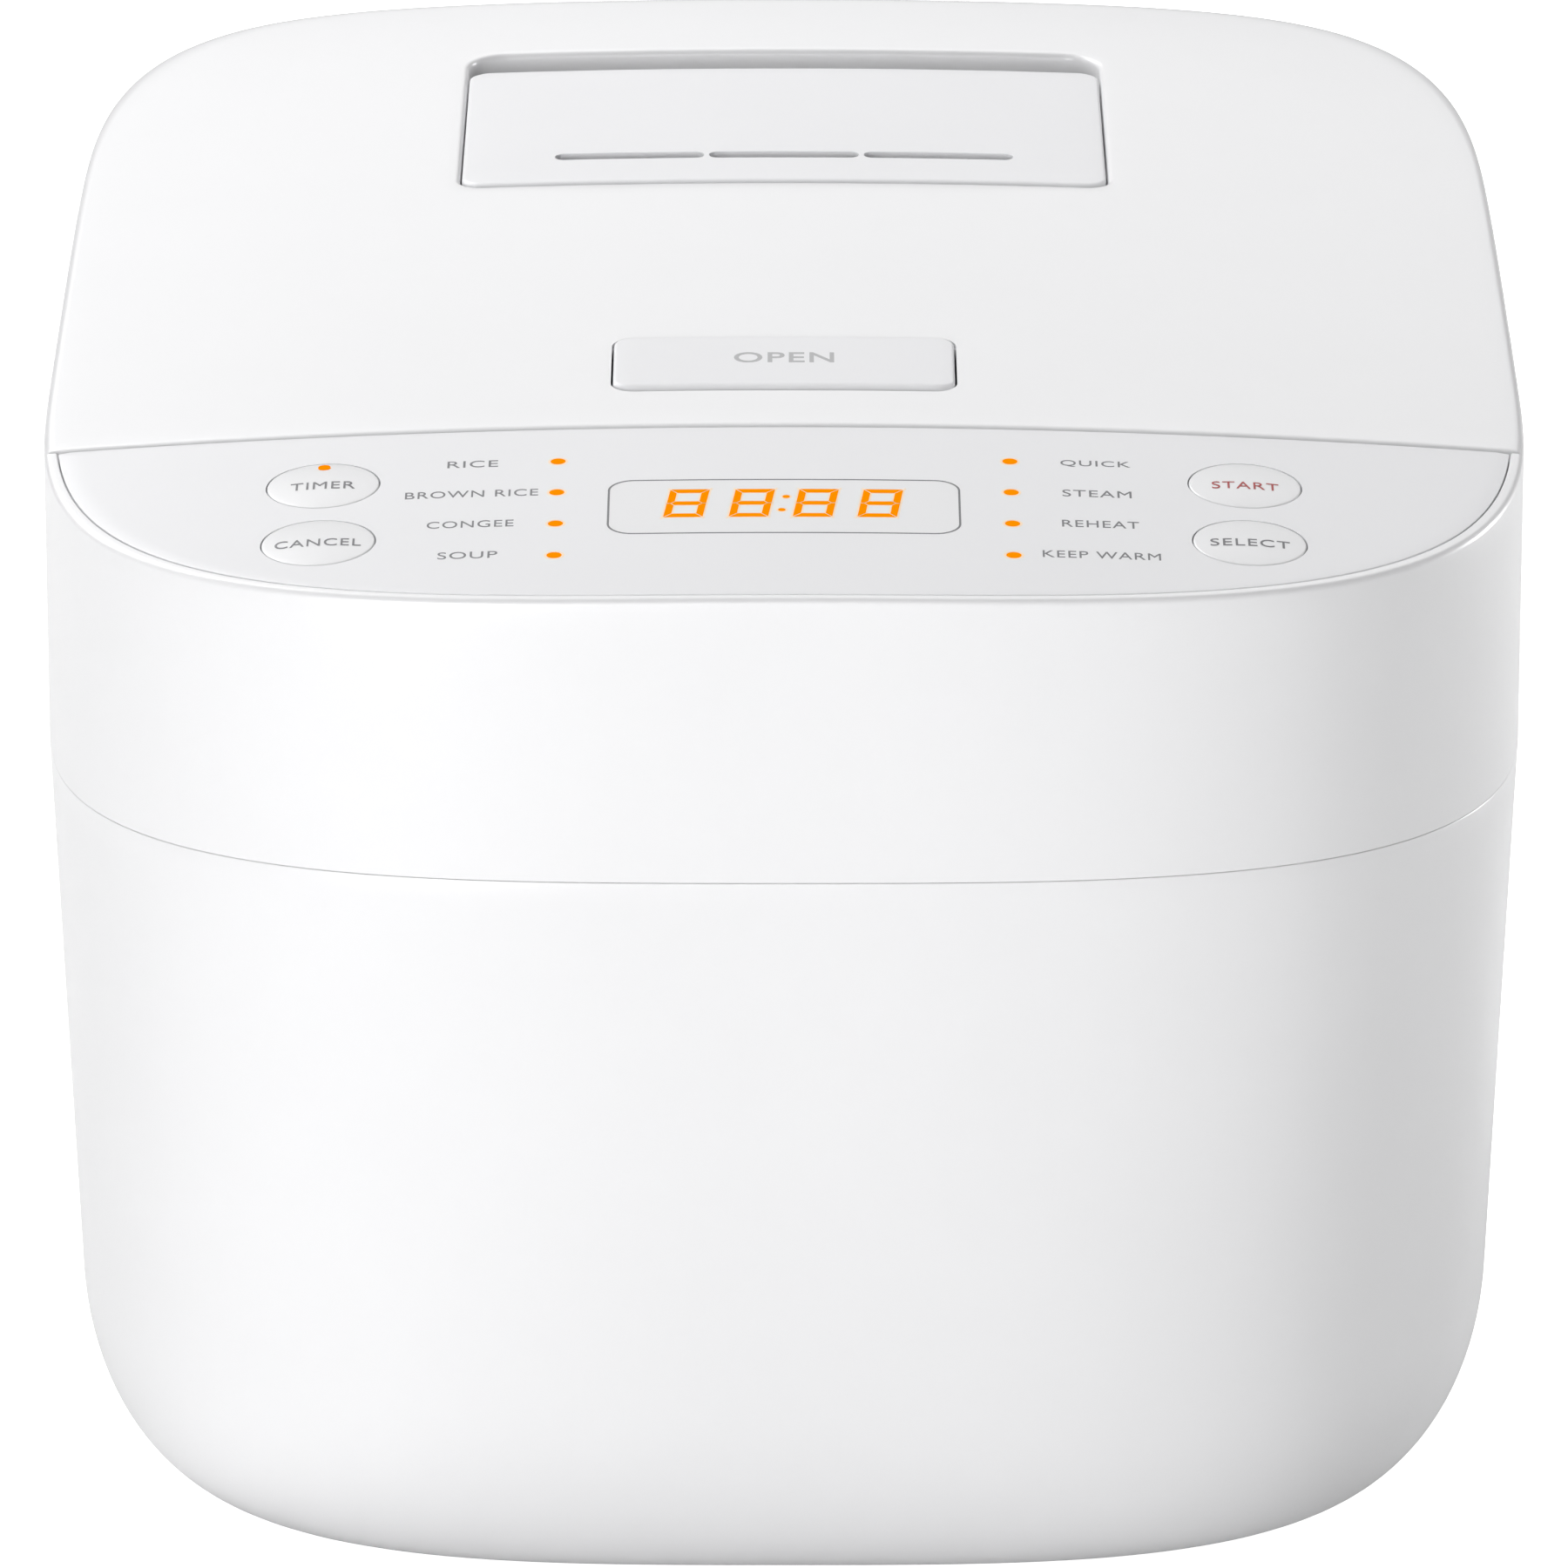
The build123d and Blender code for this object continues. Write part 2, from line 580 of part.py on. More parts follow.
def lid_outer():
    cavity = prism(WALL, 150, ABOVE) & under_top(SKIN) & slice_across(LID_FRONT + WALL, 160, 100, ABOVE)
    shell = lid_envelope() - cavity
    pocket = (vent_pocket(2.0, VENT_FLOOR - 2) & under_top(SKIN / 2)) - vent_pocket(0, VENT_FLOOR)
    shell = (shell - vent_pocket(0, VENT_FLOOR)) + pocket
    shell = shell - rod(13.7, (0, STEAM_Y, 175), (0, STEAM_Y, 190))
    for side in (1, -1):
        x0, x1 = sorted((side * 29.6, side * 33.0))
        shell = shell + (block(x0, x1, -47, -39, 187.5, 195) & under_top(SKIN / 2))
    shell = cut(shell, key_opening(0.35))
    y, z = KEY_PIVOT
    shell = shell - rod(1.25, (-31.6, y, z), (31.6, y, z))
    for x, y, _ in LID_SCREWS:
        boss = rod(3.5, (x, y, INNER_HIGH), (x, y, 205)) & under_top(SKIN / 2)
        shell = (shell + boss) - rod(1.4, (x, y, 170), (x, y, 184))
    return cut(shell, *knuckle_notches())


def lid_inner():
    inset = WALL + 0.2
    plate = prism(inset, INNER_LOW, INNER_HIGH) & slice_across(LID_FRONT + inset, HINGE_Y - 10, 150, ABOVE)
    barrel = across(BARREL, -FAR, FAR) - across(BARREL - WALL, -FAR - 1, FAR + 1)
    barrel = barrel & slice_across(100, 160, 150, HINGE_Z)
    frame = plate + (barrel & prism(inset, 150, 200))
    for side in (1, -1):
        for near, far in ((45.0, 52.6), (76.0, 85.0)):
            low, high = sorted((side * near, side * far))
            disc = across(BARREL - 1, low, high) & slice_across(120, 160, 150, HINGE_Z + 6)
            frame = frame + (disc & prism(inset, 150, 200))
    frame = frame - across(PIN_RADIUS + RUNNING, -FAR, FAR)
    for x in (-11.0, 11.0):
        y, z = LATCH_PIVOT
        ear = block(x - 1.5, x + 1.5, y - 4, y + 4, INNER_HIGH - 1, z + 4)
        frame = (frame + ear) - rod(1.5, (x - 3, y, z), (x + 3, y, z))
    stud = rod(4, (0, POT_Y, 166), (0, POT_Y, INNER_HIGH - 1))
    frame = frame + stud
    slot = block(-LATCH_SLOT_HALF, LATCH_SLOT_HALF, -90, LATCH_PIVOT[0] - 5, 160, 176)
    frame = cut(frame, rod(16, (0, STEAM_Y, 160), (0, STEAM_Y, 180)), slot)
    frame = cut(frame, rod(5.1, (*LID_SENSOR, 160), (*LID_SENSOR, 180)))
    for x, y, _ in LID_SCREWS:
        frame = frame - rod(1.6, (x, y, 160), (x, y, 180))
    return cut(frame, *knuckle_notches())


def inner_plate():
    low, r = SHEET_LOW, 86.0
    sheet = turned([(5, low), (r - 3, low), (r, low + 3), (r, INNER_LOW - 0.2), (r - 1.2, INNER_LOW - 0.2),
                    (r - 1.2, low + 3.4), (r - 3.6, low + 1.2), (5, low + 1.2)])
    for i in range(6):
        angle = radians(60 * i)
        x, y = 5.5 * cos(angle), STEAM_Y + 5.5 * sin(angle)
        sheet = sheet - rod(1.6, (x, y, 160), (x, y, 180))
    return sheet - rod(1.6, (0, STEAM_Y, 160), (0, STEAM_Y, 180))


def plate_gasket():
    inner, outer, web, lip, top = 86.1, 94.3, 169.2, 166.95, INNER_LOW - 0.1
    return turned([(inner, web), (91, web), (92.4, lip), (outer, lip), (outer, top), (inner, top)])


def plate_knob():
    knob = rod(9, (0, POT_Y, 164.8), (0, POT_Y, SHEET_LOW - 0.05))
    knob = fillet(knob.edges().sort_by(Axis.Z)[0], 1.2).solid()
    return knob - rod(4.02, (0, POT_Y, 165.9), (0, POT_Y, 170))


def steam_cup():
    return tube(15.8, 13.8, (0, STEAM_Y, INNER_LOW), (0, STEAM_Y, VENT_FLOOR - 2.1))


def steam_seal():
    return tube(15.6, 9, (0, STEAM_Y, SHEET_LOW + 1.25), (0, STEAM_Y, INNER_LOW - 0.05))


def lid_sensor():
    return rod(5, (*LID_SENSOR, SHEET_LOW + 1.25), (*LID_SENSOR, 177))


def lid_screws():
    found = []
    for x, y, _ in LID_SCREWS:
        head = rod(3, (x, y, INNER_LOW - 1.4), (x, y, INNER_LOW))
        found.append(head + rod(1.38, (x, y, INNER_LOW - 1), (x, y, 183)))
    return found


# ---- steam vent ---------------------------------------------------------------------------------
def vent_cover():
    plate = rounded_bar(-VENT_HALF, VENT_HALF, VENT_FRONT, VENT_BACK, 4, 185, ABOVE)
    plate = (plate & under_top(0)) - under_top(2.2)
    for x0, x1 in ((-40.7, -14.2), (-13.3, 13.3), (14.2, 40.7)):
        plate = plate - rounded_bar(x0, x1, 51.6, 54.2, 1.25, 180, ABOVE)
    return plate


def vent_body():
    low = VENT_FLOOR + 0.4
    tray = rounded_bar(-52, 52, 43, 100, 6, low, ABOVE) & under_top(2.25)
    tray = tray - rounded_bar(-50.2, 50.2, 44.8, 98.2, 4.5, low + 1.6, ABOVE)
    neck = rod(12.4, (0, STEAM_Y, 177.5), (0, STEAM_Y, low + 1))
    return (tray + neck) - rod(10.4, (0, STEAM_Y, 170), (0, STEAM_Y, 190))


def vent_baffle():
    plate = rounded_bar(-49.9, 49.9, 58, 97.9, 4, VENT_FLOOR + 7, VENT_FLOOR + 8.4)
    for x in range(-40, 41, 10):
        plate = plate - rod(2, (x, 92, 180), (x, 92, 200))
    legs = [rod(2, (x, 90, VENT_FLOOR + 2), (x, 90, VENT_FLOOR + 7.5)) for x in (-45, 45)]
    return fuse(plate, *legs)


def vent_seal():
    return tube(13.5, 12.42, (0, STEAM_Y, 178.5), (0, STEAM_Y, 181))


# ---- lid release --------------------------------------------------------------------------------
def lid_button():
    plate = (key_opening(0) & under_top(-0.35)) - under_top(SKIN)
    rib = block(-7, 7, -63, -58.5, 187.9, 192) & under_top(SKIN / 2)
    y, z = KEY_PIVOT
    lugs = [rod(1.2, (side * 26, y, z), (side * 31.4, y, z)) for side in (1, -1)]
    roots = [block(side * 26 - 1.5, side * 26 + 1.5, y - 2, y + 2, z - 1.2, z + 0.5) for side in (1, -1)]
    return fuse(plate, rib, *lugs, *roots)


def latch_hook():
    """Bell crank: the button pushes its upper arm and the hook below swings clear of the catch."""
    y, z = LATCH_PIVOT
    hub = rod(3.6, (-7, y, z), (7, y, z))
    upper = [(y - 3, z), (-64.5, 185.5), (-64.5, 187.3), (-60.5, 187.3), (y + 2, z + 2.5)]
    lower = [(y, z + 3), (-72.5, z + 3), (-75.8, z), (-75.8, 161.5), (-76.2, 161), (-76.2, 157.5),
             (-73.3, 156.5), (-73.3, z - 2.4), (y, z - 3)]
    arms = [extrude(Plane.YZ.offset(-half) * make_face(Polyline(*points, close=True)), 2 * half).solid()
            for points, half in ((upper, 6), (lower, 7))]
    return fuse(hub, *arms) - rod(1.5 + RUNNING, (-10, y, z), (10, y, z))


def latch_pin():
    y, z = LATCH_PIVOT
    return rod(1.49, (-12.5, y, z), (12.5, y, z))


def button_springs():
    """Two coils that lift the release button, standing on the lid's inner frame."""
    low = INNER_HIGH + 0.4
    return [helix_spring(2.6, 0.7, 14.4, 7).moved(Location((x, -56, low))) for x in (-18, 18)]


# ---- hinge --------------------------------------------------------------------------------------
def hinge_pins():
    return [across(PIN_RADIUS, *sorted((side * 45.5, side * 84.5))) for side in (1, -1)]


def hinge_springs():
    found = []
    for side in (1, -1):
        x = side * (KNUCKLE_X + KNUCKLE_HALF + 1.4)
        coil = helix_spring(5.5, 1.3, 6.6, 4)
        found.append(coil.moved(Location(Plane((x, HINGE_Y, HINGE_Z), z_dir=(side, 0, 0)))))
    return found


# ---- write --------------------------------------------------------------------------------------
timer_cap, timer_lamp = timer_button_and_lamp()
NODES = {
    "lower_body": [lower_body()],
    "base_cover": [base_cover()],
    "base_screws": base_screws(),
    "feet": feet(),
    "upper_frame": [upper_frame()],
    "control_panel": [control_panel()],
    "display_lens": [display_lens()],
    "display_module": [display_module()],
    "mode_lamps": mode_lamps(),
    "lamp_leds": lamp_leds(),
    "tact_switches": tact_switches(),
    "control_board": [control_board()],
    "board_screws": board_screws(),
    "timer_button": [timer_cap],
    "timer_lamp": [timer_lamp],
    "cancel_button": [button(*BUTTONS["cancel_button"])],
    "start_button": [button(*BUTTONS["start_button"])],
    "select_button": [button(*BUTTONS["select_button"])],
    "power_board": [power_board()],
    "transformer": [transformer()],
    "power_relay": [power_relay()],
    "filter_capacitors": filter_capacitor(),
    "terminal_blocks": terminal_blocks(),
    "ribbon_cable": ribbon_cable(),
    "power_inlet": [power_inlet()],
    "inlet_blades": inlet_blades(),
    "inlet_leads": inlet_leads(),
    "liner": [liner()],
    "side_heater": [side_heater()],
    "heating_plate": [heating_plate()],
    "heater_element": [heater_element()],
    "heater_leads": heater_leads(),
    "plate_posts": plate_posts(),
    "thermal_fuse": [thermal_fuse()],
    "sensor_guide": [sensor_guide()],
    "thermal_sensor": [thermal_sensor()],
    "sensor_spring": [sensor_spring()],
    "inner_pot": [inner_pot()],
    "lid_outer": [lid_outer()],
    "lid_inner": [lid_inner()],
    "inner_plate": [inner_plate()],
    "plate_gasket": [plate_gasket()],
    "plate_knob": [plate_knob()],
    "steam_cup": [steam_cup()],
    "steam_seal": [steam_seal()],
    "lid_sensor": [lid_sensor()],
    "lid_screws": lid_screws(),
    "vent_cover": [vent_cover()],
    "vent_body": [vent_body()],
    "vent_baffle": [vent_baffle()],
    "vent_seal": [vent_seal()],
    "lid_button": [lid_button()],
    "latch_hook": [latch_hook()],
    "latch_pin": [latch_pin()],
    "button_springs": button_springs(),
    "hinge_pins": hinge_pins(),
    "hinge_springs": hinge_springs(),
}
for name, solids in NODES.items():
    save(name, *solids)
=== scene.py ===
import json
from math import atan2, cos, pi, radians, sin, tan

import bmesh
import bpy
import numpy as np
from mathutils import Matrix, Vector


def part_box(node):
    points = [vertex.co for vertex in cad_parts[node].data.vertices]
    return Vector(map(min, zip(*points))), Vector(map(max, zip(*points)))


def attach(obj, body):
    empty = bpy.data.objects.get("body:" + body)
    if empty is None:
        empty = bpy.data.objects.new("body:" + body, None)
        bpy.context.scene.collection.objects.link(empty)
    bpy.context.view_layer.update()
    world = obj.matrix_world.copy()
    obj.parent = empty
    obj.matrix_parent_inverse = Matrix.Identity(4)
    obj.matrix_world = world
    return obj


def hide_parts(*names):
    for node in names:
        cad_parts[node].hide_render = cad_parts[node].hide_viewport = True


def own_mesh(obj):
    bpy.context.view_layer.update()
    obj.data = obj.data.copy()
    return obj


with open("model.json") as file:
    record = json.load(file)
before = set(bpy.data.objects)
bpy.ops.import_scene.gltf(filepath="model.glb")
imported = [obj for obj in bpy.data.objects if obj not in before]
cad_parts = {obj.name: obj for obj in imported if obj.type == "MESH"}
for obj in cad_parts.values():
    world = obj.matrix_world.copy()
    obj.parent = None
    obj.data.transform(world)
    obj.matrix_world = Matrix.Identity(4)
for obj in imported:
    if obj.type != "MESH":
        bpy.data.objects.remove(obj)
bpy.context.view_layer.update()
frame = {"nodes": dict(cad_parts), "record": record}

# The casing's design, in millimetres as in the CAD source. Meshes are written in metres.
MM = 0.001
HALF_WIDTH, LENGTH = 125.0, 306.0
FRONT_REACH = 108.3                       # from the widest line to the front
BACK_REACH = LENGTH - FRONT_REACH
WIDEST_Y = FRONT_REACH - LENGTH / 2
FRONT_POWER, BACK_POWER = 3.30, 6.35      # of the superellipses that make the plan
FOOT_HEIGHT, SEAM_Z, WALL = 3.0, 133.8, 2.5
TAPER = tan(radians(2.38))                # of the side below the seam
ROUND_HEIGHT, ROUND_WIDTH = 35.7, 24.5    # the rounding between side and bottom
PANEL_EDGE_Z, RIM, SKIN = 182.7, 2.1, 2.4
PANEL_SLOPE = tan(radians(5.81))
CROWN, LID_SAG = 0.00031, 0.00019         # how fast the top falls off sideways, and behind the panel
SPLIT_Y, SPLIT_GAP = -80.5, 0.45          # the line between panel and lid
LID_SEAM_Z, SEAM_GAP = 170.0, 0.4
DECK_TOP, DECK = 164.6, 2.6
HINGE_Y, HINGE_Z = 139.0, 176.0
BARREL, BARREL_GAP = 14.0, 0.6
KNUCKLE_X, KNUCKLE_HALF, PIN_RADIUS = 60.0, 6.0, 2.5
POT_Y, POT_RADIUS, POT_WALL = 25.5, 89.0, 1.5
BUTTON_DOME = 0.6
VENT_FLOOR, VENT_WALL_Y, STEAM_Y = 183.5, 115.0, 72.0
FAR = 400.0                               # well outside the casing
SLOTS_LOW, KEY_LOW, ABOVE_TOP = 180.0, 182.0, 240.0     # where cuts through the top start and end


def box_mm(node):
    """The lowest and highest corner of a CAD node, in millimetres."""
    low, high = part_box(node)
    return np.array(low) / MM, np.array(high) / MM


# ---- outlines and meshes ----------------------------------------------------------------------
def plan(inset, angles):
    """Points of the casing's plan, moved in by inset."""
    c, s = np.cos(angles), np.sin(angles)
    reach = np.where(s >= 0, BACK_REACH, FRONT_REACH) - inset
    power = np.where(s >= 0, BACK_POWER, FRONT_POWER)
    scale = (np.abs(c) ** power + np.abs(s) ** power) ** (-1 / power)
    return (HALF_WIDTH - inset) * c * scale, WIDEST_Y + reach * s * scale


def top_z(x, y):
    """Height of the casing's top surface."""
    rise = PANEL_SLOPE * (y - (WIDEST_Y - FRONT_REACH + RIM))
    return PANEL_EDGE_Z + rise - CROWN * x * x - LID_SAG * np.maximum(y - SPLIT_Y, 0) ** 2


def in_casing(inset, front=-FAR):
    """Tells which points lie inside the casing's plan and behind a line across it."""
    def inside(x, y):
        ahead = y < WIDEST_Y
        reach = np.where(ahead, FRONT_REACH, BACK_REACH) - inset
        power = np.where(ahead, FRONT_POWER, BACK_POWER)
        across, along = np.abs(x) / (HALF_WIDTH - inset), np.abs(y - WIDEST_Y) / reach
        level = across ** power + along ** power
        return (level < 1) & (y > front + inset)
    return inside


def in_bar(x0, x1, y0, y1, radius, grow=0.0):
    """Tells which points lie inside a rectangle with rounded corners, grown by a margin."""
    def inside(x, y):
        dx = np.abs(x - (x0 + x1) / 2) - (x1 - x0) / 2 + radius
        dy = np.abs(y - (y0 + y1) / 2) - (y1 - y0) / 2 + radius
        away = np.hypot(np.maximum(dx, 0), np.maximum(dy, 0)) + np.minimum(np.maximum(dx, dy), 0)
        return away < radius + grow
    return inside


def in_circle(x0, y0, radius):
    return lambda x, y: np.hypot(x - x0, y - y0) < radius


HALVINGS = 36


def cast(inside, centre, angles):
    """Where rays from a centre leave a region, found by halving."""
    low, high = np.zeros_like(angles), np.full_like(angles, FAR)
    for _ in range(HALVINGS):
        middle = (low + high) / 2
        within = inside(centre[0] + middle * np.cos(angles), centre[1] + middle * np.sin(angles))
        low, high = np.where(within, middle, low), np.where(within, high, middle)
    return centre[0] + low * np.cos(angles), centre[1] + low * np.sin(angles)


def rays(centre, corners=(), count=240, spread=4.0):
    """Directions all round a centre, closer together towards the given corners."""
    angles = list(np.linspace(0, 2 * pi, count, endpoint=False))
    for x, y in corners:
        towards = atan2(y - centre[1], x - centre[0])
        angles += list(towards + radians(spread) * np.linspace(-1, 1, 17))
    return np.unique(np.round(np.mod(angles, 2 * pi), 5))


def ring(x, y, z):
    return np.stack(np.broadcast_arrays(x, y, z), axis=1)


def between(start, end, shares):
    """Plan points on the straight lines between two outlines."""
    return [(start[0] + (end[0] - start[0]) * t, start[1] + (end[1] - start[1]) * t) for t in shares]


def quarter(radius, steps=6):
    """(inset, drop) pairs of a rounded edge, from the wall to the top."""
    turns = [pi / 2 * i / steps for i in range(steps + 1)]
    return [(radius * (1 - cos(a)), radius * (1 - sin(a))) for a in turns]


WELD, SLIVER = 2e-6, 1e-7   # metres


def clean(mesh, crease=32.0):
    """Welds a mesh, closes pinholes, turns its normals outwards and marks its sharp edges."""
    work = bmesh.new()
    work.from_mesh(mesh)
    bmesh.ops.remove_doubles(work, verts=work.verts, dist=WELD)
    bmesh.ops.dissolve_degenerate(work, edges=work.edges, dist=SLIVER)
    open_edges = [edge for edge in work.edges if edge.is_boundary]
    bmesh.ops.holes_fill(work, edges=open_edges, sides=4)
    bmesh.ops.recalc_face_normals(work, faces=work.faces)
    work.to_mesh(mesh)
    work.free()
    mesh.shade_smooth()
    mesh.set_sharp_from_angle(angle=radians(crease))


def new_object(name, mesh):
    made = bpy.data.objects.new(name, mesh)
    bpy.context.scene.collection.objects.link(made)
    return made


def shell(name, rings, closed=True, caps=False):
    """A mesh from rings of equal length joined by quads. closed joins the last ring to the first."""
    count, levels = len(rings[0]), len(rings)
    faces = []
    for level in range(levels if closed else levels - 1):
        a, b = level * count, (level + 1) % levels * count
        faces += [(a + i, a + (i + 1) % count, b + (i + 1) % count, b + i) for i in range(count)]
    if caps:
        faces += [tuple(range(count))[::-1], tuple(range((levels - 1) * count, levels * count))]
    mesh = bpy.data.meshes.new(name)
    mesh.from_pydata((np.concatenate(rings) * MM).tolist(), [], faces)
    clean(mesh)
    return new_object(name, mesh)


def lathe(name, profile, base, normal=(0, 0, 1), steps=96, closed=False):
    """A turned mesh from (radius, height) pairs about an axis through base."""
    turn = np.array(Vector((0, 0, 1)).rotation_difference(Vector(normal)).to_matrix())
    angles = np.linspace(0, 2 * pi, steps, endpoint=False)
    c, s = np.cos(angles), np.sin(angles)
    return shell(name, [ring(r * c, r * s, h) @ turn.T + np.array(base) for r, h in profile], closed)


def bar(x0, x1, y0, y1, radius, low, high, grow=0.0, count=120):
    """An upright rounded bar; low and high are heights or functions of x and y."""
    centre = ((x0 + x1) / 2, (y0 + y1) / 2)
    corners = [(x, y) for x in (x0, x1) for y in (y0, y1)]
    x, y = cast(in_bar(x0, x1, y0, y1, radius, grow), centre, rays(centre, corners, count, 8.0))
    heights = [z(x, y) if callable(z) else z for z in (low, high)]
    return shell("bar", [ring(x, y, z) for z in heights], closed=False, caps=True)


def join(name, parts):
    """Several meshes as one object."""
    work = bmesh.new()
    for part in parts:
        work.from_mesh(part.data)
        bpy.data.objects.remove(part)
    mesh = bpy.data.meshes.new(name)
    work.to_mesh(mesh)
    work.free()
    return new_object(name, mesh)


def carve(piece, tools, operation="DIFFERENCE"):
    """Cuts tools away from a piece, or adds them to it."""
    tool = join("tool", tools)
    modifier = piece.modifiers.new("carve", "BOOLEAN")
    modifier.operation, modifier.solver, modifier.object = operation, "EXACT", tool
    graph = bpy.context.evaluated_depsgraph_get()
    made = bpy.data.meshes.new_from_object(piece.evaluated_get(graph))
    piece.modifiers.clear()
    piece.data = made
    bpy.data.objects.remove(tool)
    clean(made)
    return piece


def spot(x, y, height=0.0):
    """A point above the control panel's surface, and the surface's normal there."""
    normal = Vector((2 * CROWN * x, -PANEL_SLOPE, 1)).normalized()
    return np.array(Vector((x, y, float(top_z(x, y)))) + normal * height), normal


# ---- materials --------------------------------------------------------------------------------
def nodes_of(material):
    material.use_nodes = True
    tree = material.node_tree
    return tree, tree.nodes["Principled BSDF"]


def noise(tree, scale, detail=3.0, stretch=(1, 1, 1)):
    """Noise in the object's own space; scale is in waves to the metre."""
    place = tree.nodes.new("ShaderNodeTexCoord")
    mapping = tree.nodes.new("ShaderNodeMapping")
    mapping.inputs["Scale"].default_value = stretch
    texture = tree.nodes.new("ShaderNodeTexNoise")
    texture.inputs["Scale"].default_value = scale
    texture.inputs["Detail"].default_value = detail
    tree.links.new(place.outputs["Object"], mapping.inputs["Vector"])
    tree.links.new(mapping.outputs["Vector"], texture.inputs["Vector"])
    return texture.outputs["Fac"]


def remap(tree, source, low, high):
    """Spreads noise, which lies mostly from 0.3 to 0.7, over a range of values."""
    node = tree.nodes.new("ShaderNodeMapRange")
    node.inputs["From Min"].default_value, node.inputs["From Max"].default_value = 0.3, 0.7
    node.inputs["To Min"].default_value, node.inputs["To Max"].default_value = low, high
    tree.links.new(source, node.inputs["Value"])
    return node.outputs["Result"]


def blend_colours(tree, source, first, second):
    node = tree.nodes.new("ShaderNodeMix")
    node.data_type = "RGBA"
    node.inputs["A"].default_value, node.inputs["B"].default_value = (*first, 1), (*second, 1)
    tree.links.new(source, node.inputs["Factor"])
    return node.outputs["Result"]


CLOUDS, RELIEF = 35.0, 0.0002     # waves to the metre of the colour's noise, and depth of the bump


def surface(name, colour, rough, grain=900.0, bump=0.02, vary=0.02, stretch=(1, 1, 1), **sockets):
    """A moulded or machined finish: its colour, roughness and bump each follow their own noise."""
    material = bpy.data.materials.new(name)
    tree, shader = nodes_of(material)
    darker = tuple(c * (1 - vary) for c in colour)
    cloud = remap(tree, noise(tree, CLOUDS, 4.0), 0, 1)
    tree.links.new(blend_colours(tree, cloud, darker, colour), shader.inputs["Base Color"])
    fine = noise(tree, grain, 3.0, stretch)
    tree.links.new(remap(tree, fine, rough[0], rough[1]), shader.inputs["Roughness"])
    relief = tree.nodes.new("ShaderNodeBump")
    relief.inputs["Strength"].default_value = bump
    relief.inputs["Distance"].default_value = RELIEF
    tree.links.new(fine, relief.inputs["Height"])
    tree.links.new(relief.outputs["Normal"], shader.inputs["Normal"])
    for socket, value in sockets.items():
        shader.inputs[socket.replace("_", " ")].default_value = value
    return material


# Name, colour, roughness from and to, grain, bump, and how much darker the darkest places are.
MATERIALS = {
    "casing_white": surface("casing_white", (0.83, 0.83, 0.84), (0.32, 0.38), 1400, 0.01, 0.01,
                            Coat_Weight=0.3, Coat_Roughness=0.12),
    "panel_white": surface("panel_white", (0.80, 0.80, 0.815), (0.36, 0.42), 1400, 0.01, 0.01),
    "button_white": surface("button_white", (0.80, 0.80, 0.81), (0.28, 0.34), 1400, 0.01, 0.01),
    "display_window": surface("display_window", (0.79, 0.79, 0.80), (0.35, 0.40), 1400, 0.01, 0.01),
    "lamp_amber": surface("lamp_amber", (0.10, 0.025, 0.0), (0.50, 0.60), 1200, 0.01, 0.03,
                          Emission_Color=(1.0, 0.29, 0.0, 1), Emission_Strength=0.9,
                          Specular_IOR_Level=0.0),
    # Painted glow: a pale orange colour with no light of its own, laid round the figures and lamps in place
    # of their light.
    "glow": surface("glow", (0.95, 0.74, 0.52), (0.35, 0.45), 1200, 0.01, 0.01),
    "inner_white": surface("inner_white", (0.74, 0.74, 0.74), (0.45, 0.55), 1200, 0.08, 0.02),
    "cover_grey": surface("cover_grey", (0.60, 0.60, 0.60), (0.50, 0.62), 1100, 0.15, 0.04),
    "dark_plastic": surface("dark_plastic", (0.035, 0.035, 0.037), (0.42, 0.55), 1100, 0.12, 0.08),
    "foot_rubber": surface("foot_rubber", (0.26, 0.26, 0.27), (0.70, 0.85), 1500, 0.25, 0.10),
    "silicone": surface("silicone", (0.62, 0.62, 0.63), (0.50, 0.62), 1300, 0.08, 0.04),
    "steel": surface("steel", (0.56, 0.57, 0.58), (0.22, 0.34), 900, 0.05, 0.05, (1, 1, 12), Metallic=1.0),
    "galvanised": surface("galvanised", (0.52, 0.54, 0.56), (0.32, 0.48), 260, 0.06, 0.12, Metallic=1.0),
    "aluminium": surface("aluminium", (0.72, 0.73, 0.74), (0.26, 0.40), 700, 0.05, 0.04, (10, 1, 1),
                         Metallic=1.0),
    "cast_alloy": surface("cast_alloy", (0.55, 0.56, 0.57), (0.42, 0.60), 1500, 0.35, 0.08, Metallic=1.0),
    "pot_coating": surface("pot_coating", (0.07, 0.07, 0.074), (0.34, 0.46), 1800, 0.20, 0.15),
    "brass_contact": surface("brass_contact", (0.72, 0.52, 0.22), (0.24, 0.36), 900, 0.04, 0.06,
                             Metallic=1.0),
    "circuit_board": surface("circuit_board", (0.02, 0.16, 0.06), (0.30, 0.42), 800, 0.10, 0.20),
    "component_black": surface("component_black", (0.02, 0.02, 0.022), (0.35, 0.50), 1200, 0.10, 0.10),
    "component_yellow": surface("component_yellow", (0.72, 0.48, 0.05), (0.35, 0.50), 1200, 0.08, 0.08),
    "lead_insulation": surface("lead_insulation", (0.34, 0.012, 0.010), (0.45, 0.60), 1300, 0.08, 0.05),
    "heater_fabric": surface("heater_fabric", (0.71, 0.67, 0.57), (0.75, 0.92), 600, 0.60, 0.15),
    "legend_grey": surface("legend_grey", (0.15, 0.15, 0.16), (0.45, 0.55), 1500, 0.02, 0.04),
    "legend_red": surface("legend_red", (0.38, 0.02, 0.02), (0.45, 0.55), 1500, 0.02, 0.04),
    "legend_pale": surface("legend_pale", (0.42, 0.42, 0.43), (0.40, 0.50), 1500, 0.02, 0.04),
}
SLOTS = {part["node"]: part["material_slot"] for part in frame["record"]["subparts"]}


